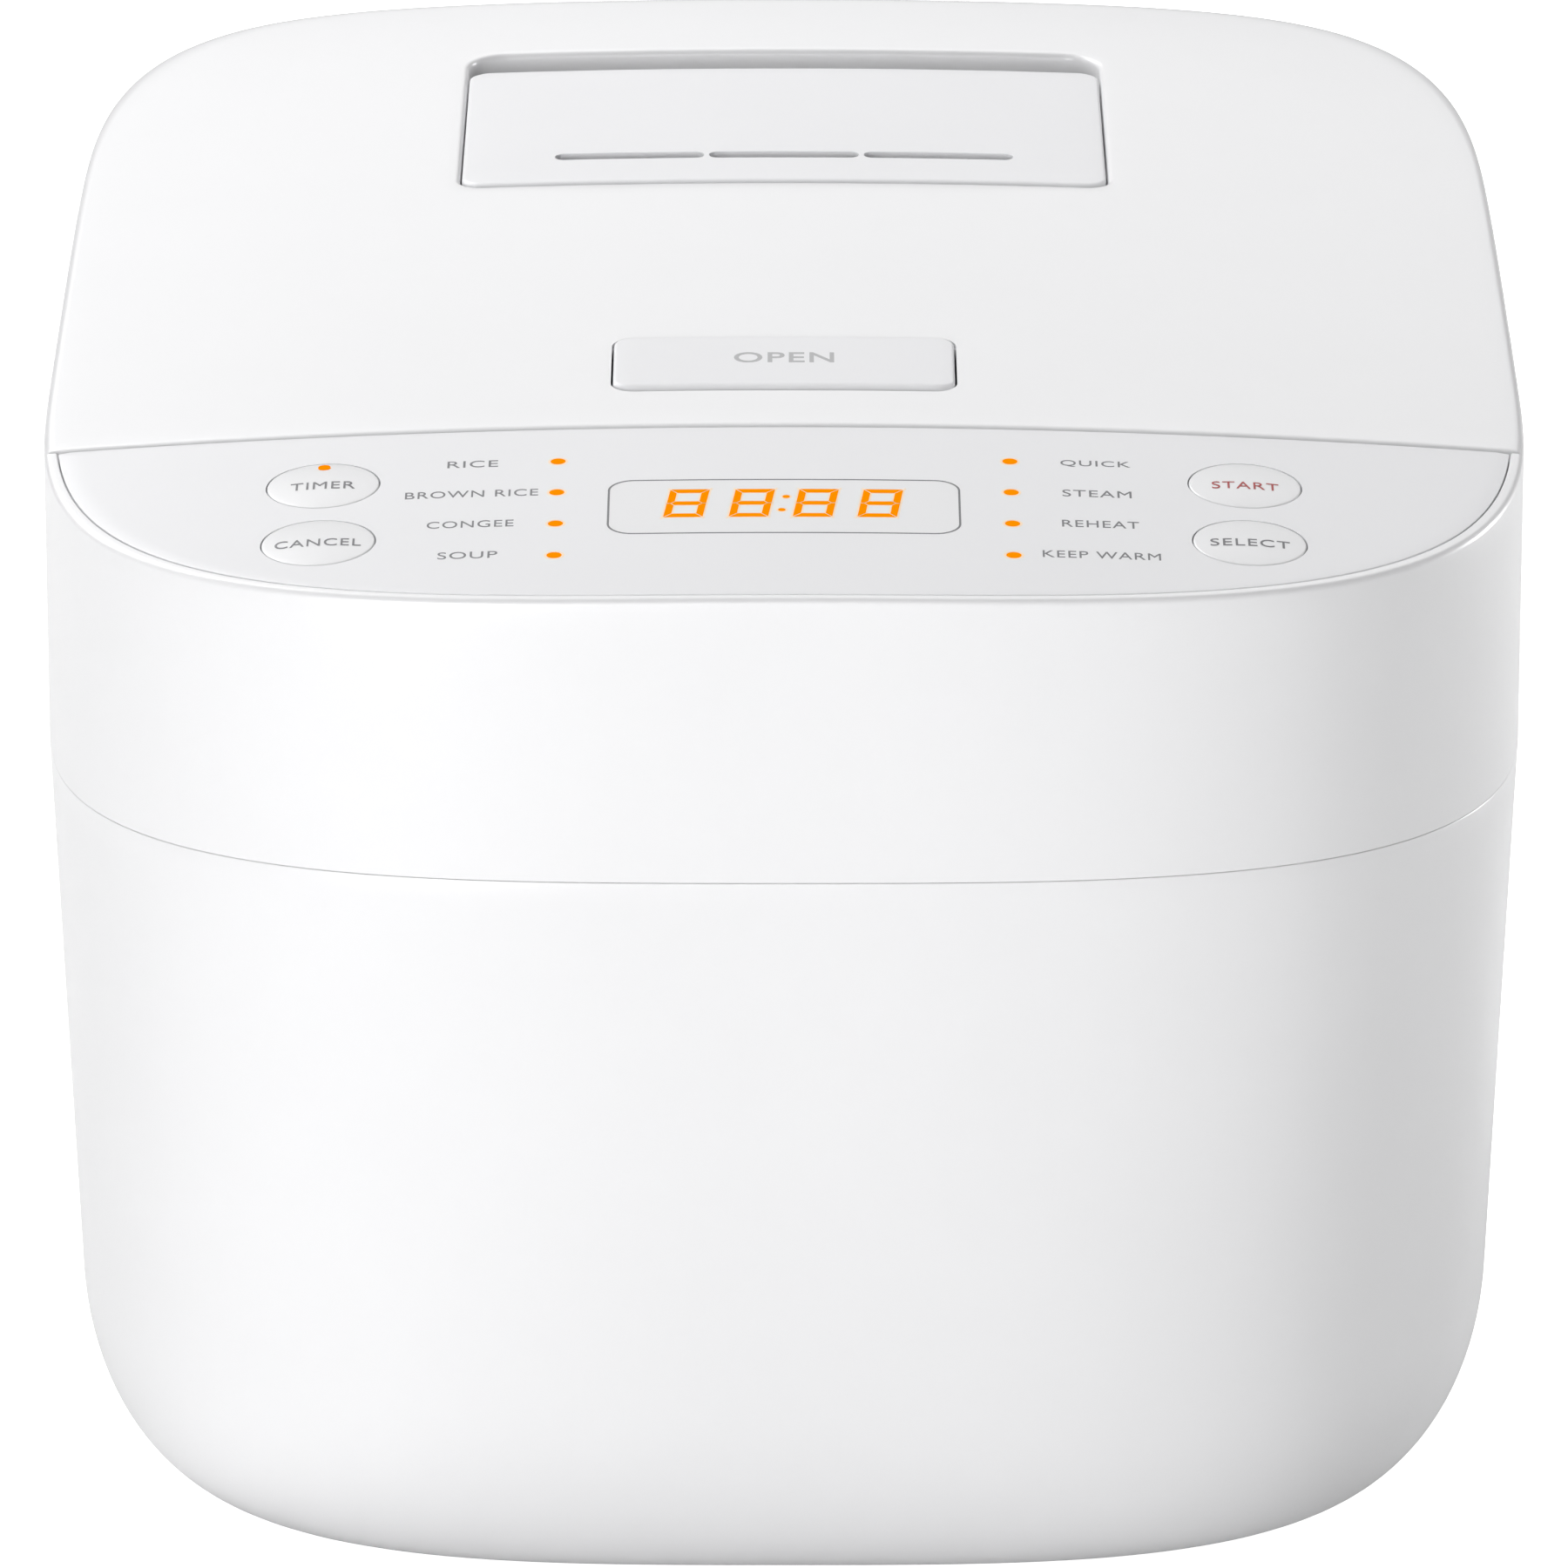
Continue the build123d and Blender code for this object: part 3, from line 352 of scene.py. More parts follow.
def paint(piece, material):
    piece.data.materials.clear()
    piece.data.materials.append(MATERIALS[material])


def dress(piece, node, body):
    """Puts a finished mesh in a CAD node's place, with that node's finish."""
    paint(piece, SLOTS[node])
    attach(piece, body)
    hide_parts(node)
    return piece


for node, cad_object in frame["nodes"].items():
    paint(cad_object, SLOTS[node])

# ---- lower body -------------------------------------------------------------------------------
ROUND_THE_PLAN = np.linspace(0, 2 * pi, 360, endpoint=False)
SEAM_EDGE = 0.2            # rounding of the two edges that meet at the seam
LIP_INSET, TONGUE_INSET, TONGUE_HEIGHT, TONGUE_DEPTH = 2.8, 4.6, 3.5, 5.0
OPENING, STEP, LEDGE = 6.0, 4.0, 16.0      # insets of the base cover's opening and of the ledge over it
LEDGE_Z = 6.0
INLET_SEAT = (0.2, 0.2, 2.4, 2.6)          # clearance at the sides and ends, depth, corner
INLET_HOLE = (-2.6, -2.1, 20.0, 1.0)       # the same for the hole through the wall behind the seat


def base_inset(extra):
    """Inset of a plan line counted from the edge of the flat bottom."""
    return ROUND_WIDTH + TAPER * (SEAM_Z - FOOT_HEIGHT) + extra


def hull_profile(thickness, steps=26):
    """(inset, z) pairs up the casing's side, from its flat bottom to the end of the rounding."""
    bend = FOOT_HEIGHT + ROUND_HEIGHT
    pairs = []
    for i in range(steps, -1, -1):
        a = pi / 2 * i / steps
        z = bend - (ROUND_HEIGHT - thickness) * sin(a)
        pairs.append((thickness + TAPER * (SEAM_Z - z) + ROUND_WIDTH * (1 - cos(a)), z))
    return pairs


def lower_shell():
    floor, tongue = FOOT_HEIGHT + WALL, SEAM_Z + TONGUE_HEIGHT
    profile = [(base_inset(OPENING), FOOT_HEIGHT)] + hull_profile(0)
    profile += [(TAPER * (SEAM_Z - z), z) for z in np.linspace(55, SEAM_Z - 4, 6)]
    profile += [(inset, SEAM_Z - drop) for inset, drop in quarter(SEAM_EDGE, 3)]
    profile += [(WALL, SEAM_Z), (WALL, SEAM_Z - 1), (LIP_INSET, SEAM_Z - 1), (LIP_INSET, tongue),
                (TONGUE_INSET, tongue), (TONGUE_INSET, SEAM_Z - TONGUE_DEPTH),
                (WALL + 0.3, SEAM_Z - TONGUE_DEPTH)]
    profile += hull_profile(WALL)[::-1]
    profile += [(base_inset(STEP), floor), (base_inset(STEP), floor + WALL),
                (base_inset(LEDGE), floor + WALL), (base_inset(LEDGE), LEDGE_Z),
                (base_inset(OPENING), LEDGE_Z)]
    body = shell("lower_shell", [ring(*plan(inset, ROUND_THE_PLAN), z) for inset, z in profile])
    low, high = box_mm("power_inlet")
    for (side, end, depth, corner), reach in ((INLET_SEAT, 10), (INLET_HOLE, 5)):
        cut = bar(low[0] - side, high[0] + side, low[2] - end, high[2] + end, corner, 0, 1)
        lie_back(cut, high[1] - depth, high[1] + reach)
        carve(body, [cut])
    return dress(body, "lower_body", "casing")


def lie_back(tool, y0, y1):
    """Turns a bar drawn in x and y, from height 0 to 1, into one in x and z that runs from y0 to y1."""
    for vertex in tool.data.vertices:
        x, z, t = vertex.co / MM
        vertex.co = Vector((x, y0 + (y1 - y0) * t, z)) * MM
    tool.data.flip_normals()


lower_shell()

# ---- upper frame ------------------------------------------------------------------------------
PANEL_BACK = SPLIT_Y - SPLIT_GAP / 2
LID_FRONT = SPLIT_Y + SPLIT_GAP / 2
LID_BOTTOM = LID_SEAM_Z + SEAM_GAP
RIM_ROUND = 1.0            # of the rim's outer edge, round the control panel
GROOVE = 0.12              # the fine gap that shows as the seam
REAR_ROUND = 0.4           # of the plain edge under the lid
HAIR = 0.2                 # the small chamfers inside the band
PARTITION, PARTITION_HALF = (-84.0, -81.4), 118.8
POT_HOLE, POT_HOLE_ROUND = POT_RADIUS + POT_WALL + 1, 0.8
CATCH = (-9.5, 9.5, -77.0, -70.3, 0.8, 150.0, 168.0)    # the slot that the latch goes through
PIN_HOLE, PIN_HOLE_HALF = PIN_RADIUS + 0.02, 9.0
TROUGH = BARREL + BARREL_GAP


def split_angles():
    """Plan angles just in front of and just behind the line where the lid starts, on both sides."""
    angles = np.linspace(-pi / 2, 0, 20001)
    right = float(np.interp(PANEL_BACK, plan(0, angles)[1], angles))
    step = 1e-4
    return [right - step, right + step, pi - right + step, pi - right - step]


def trough_z(y, radius):
    """Lower half of a cylinder about the hinge, carried on level behind it."""
    return HINGE_Z - np.sqrt(radius ** 2 - np.clip(HINGE_Y - y, 0, radius) ** 2)


def band():
    """The wall above the seam: a rounded rim and a ledge round the panel, a plain edge elsewhere."""
    angles = np.unique(np.mod(np.concatenate([ROUND_THE_PLAN, split_angles()]), 2 * pi))
    ahead = plan(0, angles)[1] < PANEL_BACK
    front = quarter(RIM_ROUND) + [(RIM - HAIR, 0), (RIM, HAIR), (RIM, SKIN), (2 * WALL, SKIN),
                                  (2 * WALL, SKIN + 2), (WALL, SKIN + 2)]
    rear = quarter(REAR_ROUND) + [(WALL - HAIR, 0), (WALL, HAIR), (WALL, 1), (WALL, 2), (WALL, 3),
                                  (WALL, 4.4)]
    start = SEAM_Z + GROOVE
    foot = [(WALL, 0)] + [(inset, SEAM_EDGE - rise) for rise, inset in quarter(SEAM_EDGE, 3)]
    rings = [ring(*plan(inset, angles), start + rise) for inset, rise in foot]
    x, y = plan(0, angles)
    rear_edge = np.minimum(LID_SEAM_Z, trough_z(y, TROUGH)) - REAR_ROUND
    edge = np.where(ahead, top_z(x, y) - RIM_ROUND, rear_edge)
    rings += [ring(x, y, SEAM_Z + 1 + (edge - SEAM_Z - 1) * t) for t in (0, 0.3, 0.6, 0.9)]
    for (near, front_drop), (far, rear_drop) in zip(front, rear):
        x, y = plan(np.where(ahead, near, far), angles)
        y = np.where(ahead, np.minimum(y, PANEL_BACK), np.maximum(y, PANEL_BACK))
        back_z = np.minimum(LID_SEAM_Z, trough_z(y, TROUGH)) - rear_drop
        rings.append(ring(x, y, np.where(ahead, top_z(x, y) - front_drop, back_z)))
    return shell("upper_shell", rings)


def deck():
    """The sunken floor round the pot, falling into the hinge trough."""
    centre, edge = (0, POT_Y), POT_HOLE_ROUND
    angles = rays(centre, [(-118, PARTITION[0]), (118, PARTITION[0]), (-115, 145), (115, 145)], 300)
    casing = in_casing(WALL - 0.1)
    outer = cast(lambda x, y: casing(x, y) & (y > PARTITION[0]), centre, angles)

    def hole(inset):
        return cast(in_circle(*centre, POT_HOLE + inset), centre, angles)

    def level(x, y, drop):
        return ring(x, y, np.minimum(DECK_TOP, trough_z(y, TROUGH)) - drop)

    rings = [level(*outer, DECK)]
    rings += [level(x, y, 0) for x, y in between(outer, hole(edge), np.linspace(0, 1, 22))]
    rings += [level(*hole(inset), drop) for inset, drop in quarter(edge, 4)[::-1]]
    rings += [level(x, y, DECK) for x, y in between(hole(0), outer, np.linspace(0, 1, 22))[:-1]]
    return shell("deck", rings)


def along_x(x0, x1, profile, y, z, steps=96):
    """A part turned about a line across the casing."""
    return lathe("turned", [(r, x0 + (x1 - x0) * t) for r, t in profile], (0, y, z), (1, 0, 0), steps)


ROD = [(0, 0), (1, 0), (1, 1), (0, 1)]


def rod_x(x0, x1, radius, y, z):
    return along_x(x0, x1, [(r * radius, t) for r, t in ROD], y, z)


def partition():
    """The wall across the casing, between the control panel and the pot."""
    y0, y1 = PARTITION
    foot, stations = DECK_TOP - DECK, []
    for x in np.linspace(-PARTITION_HALF, PARTITION_HALF, 41):
        front, back = top_z(x, np.array(PARTITION)) - SKIN
        stations.append(np.array([(x, y0, foot), (x, y1, foot), (x, y1, back), (x, y0, front)]))
    return shell("wall", stations, closed=False, caps=True)


def upper_shell():
    floor = deck()
    barrels, feet = [], []
    for middle in (-KNUCKLE_X, KNUCKLE_X):
        low, high = middle - KNUCKLE_HALF, middle + KNUCKLE_HALF
        barrels.append(rod_x(low, high, BARREL - BARREL_GAP, HINGE_Y, HINGE_Z))
        feet.append(bar(low + 0.1, high - 0.1, HINGE_Y - 8, HINGE_Y + 4, 0.5, HINGE_Z - TROUGH - 1, HINGE_Z,
                        count=60))
    carve(floor, [partition()], "UNION")
    carve(floor, barrels, "UNION")
    carve(floor, feet, "UNION")
    pins = [rod_x(x - PIN_HOLE_HALF, x + PIN_HOLE_HALF, PIN_HOLE, HINGE_Y, HINGE_Z)
            for x in (-KNUCKLE_X, KNUCKLE_X)]
    carve(floor, [bar(*CATCH, count=60)] + pins)
    return dress(carve(band(), [floor], "UNION"), "upper_frame", "casing")


upper_shell()


# ---- lid --------------------------------------------------------------------------------------
LID_ROUND, LID_BACK_ROUND = 1.8, 5.0
POCKET_ROUND = 1.1
SLOT_Y, SLOT_LEAN = (51.1, 54.6), 0.4     # the steam slots, and how far they run back as they go down
KEY_HALF, KEY_ROUND, KEY_GAP, KEY_LIFT = 28.95, 3.5, 0.35, 0.35
KEY_PIVOT, LUG_RADIUS, LUG_REACH = (-43.0, 191.2), 1.2, 31.4
STEAM_HOLE = 13.7
POCKET_FRONT, POCKET_BACK = 4.0, 7.0      # corners of the vent's pocket
POCKET_SIDE_GAP, POCKET_FRONT_GAP, POCKET_WALL = 0.3, 0.35, 2.0
LID_CORNER_X = 121.7


def smooth_step(value, start, end):
    t = np.clip((value - start) / (end - start), 0, 1)
    return t * t * (3 - 2 * t)


def lid_bottom_z(y):
    """The side seam, and behind it the barrel that turns about the hinge."""
    lower_half = HINGE_Z - np.sqrt(BARREL ** 2 - np.minimum(np.abs(y - HINGE_Y), BARREL) ** 2)
    return np.where(y < HINGE_Y, np.minimum(LID_BOTTOM, lower_half), lower_half)


def lid_shell():
    vent_low, vent_high = box_mm("vent_cover")
    half, y0, y1 = vent_high[0] + POCKET_SIDE_GAP, vent_low[1] - POCKET_FRONT_GAP, VENT_WALL_Y
    centre = (0, (y0 + y1) / 2)
    corners = [(x, y) for x in (-half, half) for y in (y0, y1)]
    corners += [(-LID_CORNER_X, LID_FRONT), (LID_CORNER_X, LID_FRONT)]
    angles = rays(centre, corners, 300)

    def rim(inset):
        casing = in_casing(inset)
        return cast(lambda x, y: casing(x, y) & (y > LID_FRONT + inset), centre, angles)

    def pocket(grow):
        front = in_bar(-half, half, y0, y1, POCKET_FRONT, grow)
        back = in_bar(-half, half, y0 - 20, y1, POCKET_BACK, grow)
        return cast(lambda x, y: front(x, y) & back(x, y), centre, angles)

    def surface_at(xy, drop=0.0):
        return ring(*xy, top_z(*xy) - drop)

    rounds = LID_ROUND + (LID_BACK_ROUND - LID_ROUND) * smooth_step(rim(0)[1], 60, 145)
    steam = cast(in_circle(0, STEAM_Y, STEAM_HOLE), centre, angles)
    rings = []
    for inset, rise in ((WALL, 0), (1.7, 0), (1.0, 0), (0.4, 0), (0.12, 0.12), (0, 0.4)):
        xy = rim(inset)
        rings.append(ring(*xy, lid_bottom_z(xy[1]) + rise))
    outside = rim(0)
    start, end = lid_bottom_z(outside[1]) + 0.4, top_z(*outside) - rounds
    rings += [ring(*outside, start + (end - start) * t) for t in (0.25, 0.5, 0.75)]
    for a in np.linspace(0, pi / 2, 9):
        rings.append(surface_at(rim(rounds * (1 - cos(a))), rounds * (1 - sin(a))))
    rings += [surface_at(xy) for xy in between(rim(rounds), pocket(POCKET_ROUND), np.linspace(0, 1, 26)[1:])]
    rings += [surface_at(pocket(inset), drop) for inset, drop in quarter(POCKET_ROUND, 5)[::-1]]
    floor_edge = pocket(0)
    rings += [ring(*floor_edge, VENT_FLOOR + 6), ring(*floor_edge, VENT_FLOOR + 1)]
    rings += [ring(*pocket(-0.3), VENT_FLOOR + 0.3), ring(*pocket(-1), VENT_FLOOR)]
    rings += [ring(*xy, VENT_FLOOR) for xy in between(pocket(-1), steam, (0.5, 1))]
    under, around = VENT_FLOOR - POCKET_WALL, pocket(POCKET_WALL)
    rings += [ring(*steam, under)]
    rings += [ring(*xy, under) for xy in between(steam, around, (0.5, 1))]
    rings += [surface_at(around, SKIN)]
    rings += [surface_at(xy, SKIN) for xy in between(around, rim(WALL), np.linspace(0, 1, 20)[1:])]
    body = shell("lid_shell", rings)
    low, high = box_mm("lid_button")
    key_hole = bar(-KEY_HALF, KEY_HALF, low[1], high[1], KEY_ROUND, KEY_LOW, ABOVE_TOP, KEY_GAP)
    carve(body, [key_hole])
    reach = KNUCKLE_HALF + 0.6
    carve(body, [rod_x(x - reach, x + reach, TROUGH, HINGE_Y, HINGE_Z) for x in (-KNUCKLE_X, KNUCKLE_X)])
    return dress(body, "lid_outer", "lid")


lid_shell()


# ---- plates that follow the top surface -------------------------------------------------------
VENT_CORNER, VENT_THICKNESS, KEY_THICKNESS = 4.0, 2.2, 2.7
SLOTS_X, SLOT_ROUND = ((-40.7, -14.2), (-13.3, 13.3), (14.2, 40.7)), 1.6
LUG_START = 26.0
EDGE_ROUND, VENT_FRONT_ROUND, VENT_BACK_ROUND, KEY_FRONT_ROUND = 0.6, 1.2, 0.7, 2.0


def plate(name, node, body, x0, x1, y0, y1, radius, lift, thickness, rounds, cuts=(), extras=()):
    """A rounded rectangular plate with its own edge rounding at every point of its outline."""
    centre = ((x0 + x1) / 2, (y0 + y1) / 2)
    angles = rays(centre, [(x, y) for x in (x0, x1) for y in (y0, y1)], 200, 7.0)

    def edge(inset):
        return cast(in_bar(x0, x1, y0, y1, radius, -inset), centre, angles)

    def surface_at(xy, drop):
        return ring(*xy, top_z(*xy) + lift - drop)

    middle = (np.full_like(angles, centre[0]), np.full_like(angles, centre[1]))
    width = rounds(*edge(0))
    rings = [surface_at(xy, thickness) for xy in between(middle, edge(0.2), (0.04, 0.5, 1))]
    rings.append(surface_at(edge(0), thickness - 0.2))
    depth = np.minimum(width, thickness - 0.4)
    for a in np.linspace(0, pi / 2, 7):
        rings.append(surface_at(edge(width * (1 - cos(a))), depth * (1 - sin(a))))
    rings += [surface_at(xy, 0) for xy in between(edge(width), middle, np.linspace(0, 0.96, 12)[1:])]
    made = shell(name, rings, closed=False, caps=True)
    if cuts:
        carve(made, list(cuts))
    for extra in extras:
        carve(made, [extra], "UNION")
    return dress(made, node, body)


def vent_plate():
    low, high = box_mm("vent_cover")
    slots = [bar(x0, x1, *SLOT_Y, SLOT_ROUND, SLOTS_LOW, ABOVE_TOP, count=90) for x0, x1 in SLOTS_X]
    for slot in slots:
        for vertex in slot.data.vertices:
            x, y, z = vertex.co / MM
            vertex.co.y += SLOT_LEAN * (float(top_z(x, y)) - z) * MM

    def rounds(x, y):
        front, back = smooth_step(-y, -low[1] - 4, -low[1]), smooth_step(y, high[1] - 4, high[1])
        return EDGE_ROUND + VENT_FRONT_ROUND * front + VENT_BACK_ROUND * back
    plate("vent_plate", "vent_cover", "steam_vent", low[0], high[0], low[1], high[1], VENT_CORNER, 0,
          VENT_THICKNESS, rounds, slots)


def release_key():
    low, high = box_mm("lid_button")

    def rounds(x, y):
        return EDGE_ROUND + KEY_FRONT_ROUND * smooth_step(-y, -low[1] - 3.5, -low[1])
    lugs = [rod_x(x0, x1, LUG_RADIUS, *KEY_PIVOT)
            for x0, x1 in ((LUG_START, LUG_REACH), (-LUG_REACH, -LUG_START))]
    plate("release_key", "lid_button", "release_button", -KEY_HALF, KEY_HALF, low[1], high[1], KEY_ROUND,
          KEY_LIFT, KEY_THICKNESS, rounds, extras=lugs)


vent_plate()
release_key()


# ---- springs ----------------------------------------------------------------------------------
def coil(x, y, low, high, radius, wire, turns):
    """A helix of round wire; low and high are where the middle of the wire starts and ends."""
    stations, up = [], np.array([0, 0, 1])
    around = np.linspace(0, 2 * pi, 12, endpoint=False)[:, None]
    for t in np.linspace(0, 1, 32 * turns + 1):
        out = np.array([cos(2 * pi * turns * t), sin(2 * pi * turns * t), 0])
        middle = np.array([x, y, low + (high - low) * t]) + radius * out
        stations.append(middle + wire / 2 * (np.cos(around) * out + np.sin(around) * up))
    return shell("coil", stations, closed=False, caps=True)


def springs(name, node, body, places, radius, wire, turns):
    """Coil springs standing on their lower ends."""
    low, high = box_mm(node)
    z0, z1 = low[2] + wire / 2, high[2] - wire / 2
    piece = join(name, [coil(x, y, z0, z1, radius, wire, turns) for x, y in places])
    clean(piece.data)
    dress(piece, node, body)
    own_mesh(piece)


KEY_SPRING_X, KEY_SPRING_Y = 18.0, -56.0
springs("sensor_coil", "sensor_spring", "casing", [(0, POT_Y)], 8.0, 1.2, 5)
springs("key_coils", "button_springs", "lid",
        [(-KEY_SPRING_X, KEY_SPRING_Y), (KEY_SPRING_X, KEY_SPRING_Y)], 2.6, 0.7, 7)


# ---- control panel ----------------------------------------------------------------------------
LAMP_RADIUS, TIMER_LAMP_RADIUS = 1.35, 1.05
LAMP_X, LAMP_ROWS = 37.6, (-94.5, -107.6, -120.7, -133.8)
TIMER_LAMP_Y = -94.7
BUTTON_X, BUTTON_ROWS, BUTTON_RADIUS, BUTTON_GAP = 76.5, (-101.5, -125.4), 9.35, 0.2
KEYS = {"timer_button": "timer_key", "cancel_button": "cancel_key",
        "start_button": "start_key", "select_button": "select_key"}
KEY_PLACES = {"timer_button": (-BUTTON_X, BUTTON_ROWS[0]), "cancel_button": (-BUTTON_X, BUTTON_ROWS[1]),
              "start_button": (BUTTON_X, BUTTON_ROWS[0]), "select_button": (BUTTON_X, BUTTON_ROWS[1])}
LAMP_PLACES = [(side * LAMP_X, y) for side in (-1, 1) for y in LAMP_ROWS]
DISPLAY_ROUND, DISPLAY_GAP, DISPLAY_DEPTH = 4.0, 0.15, 1.25
DISPLAY_LOW, DISPLAY_HIGH = box_mm("display_lens")
PANEL_GAP, PANEL_ROUND, PANEL_CORNER_X = 0.22, 0.1, 119.5
LINE_OUT, LINE_IN = 0.30, -0.05           # the printed line round the display, from the window's edge
LINE_LOW, LINE_HIGH = -0.01, 0.03
LAMP_GAP, LAMP_DOME, TIMER_LAMP_LIFT = 0.04, 0.16, 0.45


def display_outline(centre, angles, grow):
    (x0, y0), (x1, y1) = DISPLAY_LOW[:2], DISPLAY_HIGH[:2]
    return cast(in_bar(x0, x1, y0, y1, DISPLAY_ROUND, grow), centre, angles)


def pin_through(x, y, radius, low=-6.0, high=3.0):
    """A cutting cylinder square to the panel."""
    place, normal = spot(x, y)
    return lathe("pin", [(r * radius, low + (high - low) * t) for r, t in ROD], place, normal, 72)


def panel_plate():
    inset, edge = RIM + PANEL_GAP, PANEL_ROUND
    display = (0.0, float(DISPLAY_LOW[1] + DISPLAY_HIGH[1]) / 2)
    angles = rays(display, [(-PANEL_CORNER_X, PANEL_BACK), (PANEL_CORNER_X, PANEL_BACK)], 360)

    def outline(extra):
        casing = in_casing(inset + extra)
        return cast(lambda x, y: casing(x, y) & (y < PANEL_BACK - extra), display, angles)

    middle = (np.zeros_like(angles), np.full_like(angles, display[1]))
    rings = [ring(*xy, top_z(*xy) - SKIN) for xy in between(middle, outline(0), np.linspace(0.05, 1, 24))]
    for extra, drop in quarter(edge, 3):
        xy = outline(extra)
        rings.append(ring(*xy, top_z(*xy) - drop))
    rings += [ring(*xy, top_z(*xy)) for xy in between(outline(edge), middle, np.linspace(0, 0.95, 30)[1:])]
    body = shell("panel_plate", rings, closed=False, caps=True)
    holes = [pin_through(x, y, BUTTON_RADIUS + BUTTON_GAP) for x, y in KEY_PLACES.values()]
    holes += [pin_through(x, y, LAMP_RADIUS + LAMP_GAP) for x, y in LAMP_PLACES]
    (x0, y0), (x1, y1) = DISPLAY_LOW[:2] - DISPLAY_GAP, DISPLAY_HIGH[:2] + DISPLAY_GAP
    holes.append(bar(x0, x1, y0, y1, DISPLAY_ROUND, lambda x, y: top_z(x, y) - DISPLAY_DEPTH - 0.05,
                     ABOVE_TOP))
    carve(body, holes)
    return dress(body, "control_panel", "casing")


def display_window():
    centre = (0.0, float(DISPLAY_LOW[1] + DISPLAY_HIGH[1]) / 2)
    corners = [(x, y) for x in (DISPLAY_LOW[0], DISPLAY_HIGH[0]) for y in (DISPLAY_LOW[1], DISPLAY_HIGH[1])]
    angles = rays(centre, corners, 160, 8.0)
    middle = (np.zeros_like(angles), np.full_like(angles, centre[1]))
    out = display_outline(centre, angles, 0)
    rings = [ring(*xy, top_z(*xy) - DISPLAY_DEPTH) for xy in between(middle, out, (0.05, 0.5, 1))]
    rings += [ring(*xy, top_z(*xy)) for xy in between(out, middle, np.linspace(0, 0.95, 12))]
    dress(shell("display_window", rings, closed=False, caps=True), "display_lens", "casing")
    line = []
    section = [(LINE_OUT, LINE_LOW), (LINE_OUT, LINE_HIGH), (LINE_IN, LINE_HIGH), (LINE_IN, LINE_LOW)]
    for grow, rise in section:
        xy = display_outline(centre, angles, grow)
        line.append(ring(*xy, top_z(*xy) + rise))
    add_print(shell("display_line", line), "legend_grey", "casing")


def add_print(piece, material, body):
    paint(piece, material)
    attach(piece, body)


def dome(radius, crown):
    """Height of a button's crown above its rim, as a function of the distance from its middle."""
    ball = (radius ** 2 + crown ** 2) / (2 * crown)
    return lambda r: np.sqrt(ball ** 2 - r ** 2) - (ball - crown)


CAP_EDGE, LAMP_DEPTH, TIMER_LAMP_DEPTH = 0.35, 10.5, 2.3
CAP_DEPTH, FLANGE, FLANGE_DEPTH, STEM, STEM_DEPTH = 2.5, 1.3, 3.6, 2.0, 7.4


def key_cap(node):
    """A domed cap on a flange that holds it under the panel, with the stem that works its switch."""
    x, y = KEY_PLACES[node]
    height, edge = dome(BUTTON_RADIUS, BUTTON_DOME), CAP_EDGE
    profile = [(r, float(height(r))) for r in np.linspace(0, BUTTON_RADIUS - edge, 16)]
    start = float(height(BUTTON_RADIUS - edge))
    profile += [(BUTTON_RADIUS - inset, start - drop) for inset, drop in quarter(edge, 4)[::-1]]
    flange = BUTTON_RADIUS + FLANGE
    profile += [(BUTTON_RADIUS, -CAP_DEPTH), (flange, -CAP_DEPTH), (flange, -FLANGE_DEPTH),
                (STEM, -FLANGE_DEPTH), (STEM, -STEM_DEPTH), (0, -STEM_DEPTH)]
    place, normal = spot(x, y)
    cap = lathe(node.replace("button", "cap"), profile, place, normal, 128)
    if node == "timer_button":
        carve(cap, [pin_through(x, TIMER_LAMP_Y, TIMER_LAMP_RADIUS, -TIMER_LAMP_DEPTH)])
    return dress(cap, node, KEYS[node])


def lamp(x, y, radius, depth, lift=0.0):
    """A small lens with a faintly domed face."""
    height = dome(radius, LAMP_DOME)
    profile = [(r, lift + float(height(r))) for r in np.linspace(0, radius, 6)]
    profile += [(radius, -depth), (0, -depth)]
    place, normal = spot(x, y)
    return lathe("lamp", profile, place, normal, 40)


def lamps():
    group = join("lamp_lenses", [lamp(x, y, LAMP_RADIUS, LAMP_DEPTH) for x, y in LAMP_PLACES])
    clean(group.data)
    dress(group, "mode_lamps", "casing")
    single = lamp(-BUTTON_X, TIMER_LAMP_Y, TIMER_LAMP_RADIUS - 0.01, TIMER_LAMP_DEPTH, TIMER_LAMP_LIFT)
    single.name = "timer_lens"
    dress(single, "timer_lamp", "timer_key")


panel_plate()
display_window()
for node in KEYS:
    key_cap(node)
lamps()


# ---- printed legends and figures --------------------------------------------------------------
PRINT = 0.03               # thickness of a printed legend


def legend(name, word, x, y, width, height, body, material, surface_z=top_z, weight=0.0):
    """A word laid on the surface, its box width by height. weight thickens the letters."""
    curve = bpy.data.curves.new(name, "FONT")
    curve.body, curve.extrude, curve.resolution_u, curve.space_character = word, 0.5, 5, 1.1
    curve.offset = weight
    holder = new_object(name + "_text", curve)
    bpy.context.view_layer.update()
    graph = bpy.context.evaluated_depsgraph_get()
    mesh = bpy.data.meshes.new_from_object(holder.evaluated_get(graph))
    bpy.data.objects.remove(holder)
    points = np.array([v.co for v in mesh.vertices])
    low, high = points.min(0), points.max(0)
    share = (points - (low + high) / 2) / (high - low)
    u, v = x + share[:, 0] * width, y + share[:, 1] * height
    z = surface_z(u, v) + PRINT * (share[:, 2] + 0.4)
    mesh.vertices.foreach_set("co", (np.stack([u, v, z], 1) * MM).ravel())
    mesh.name = name
    clean(mesh)
    add_print(new_object(name, mesh), material, body)


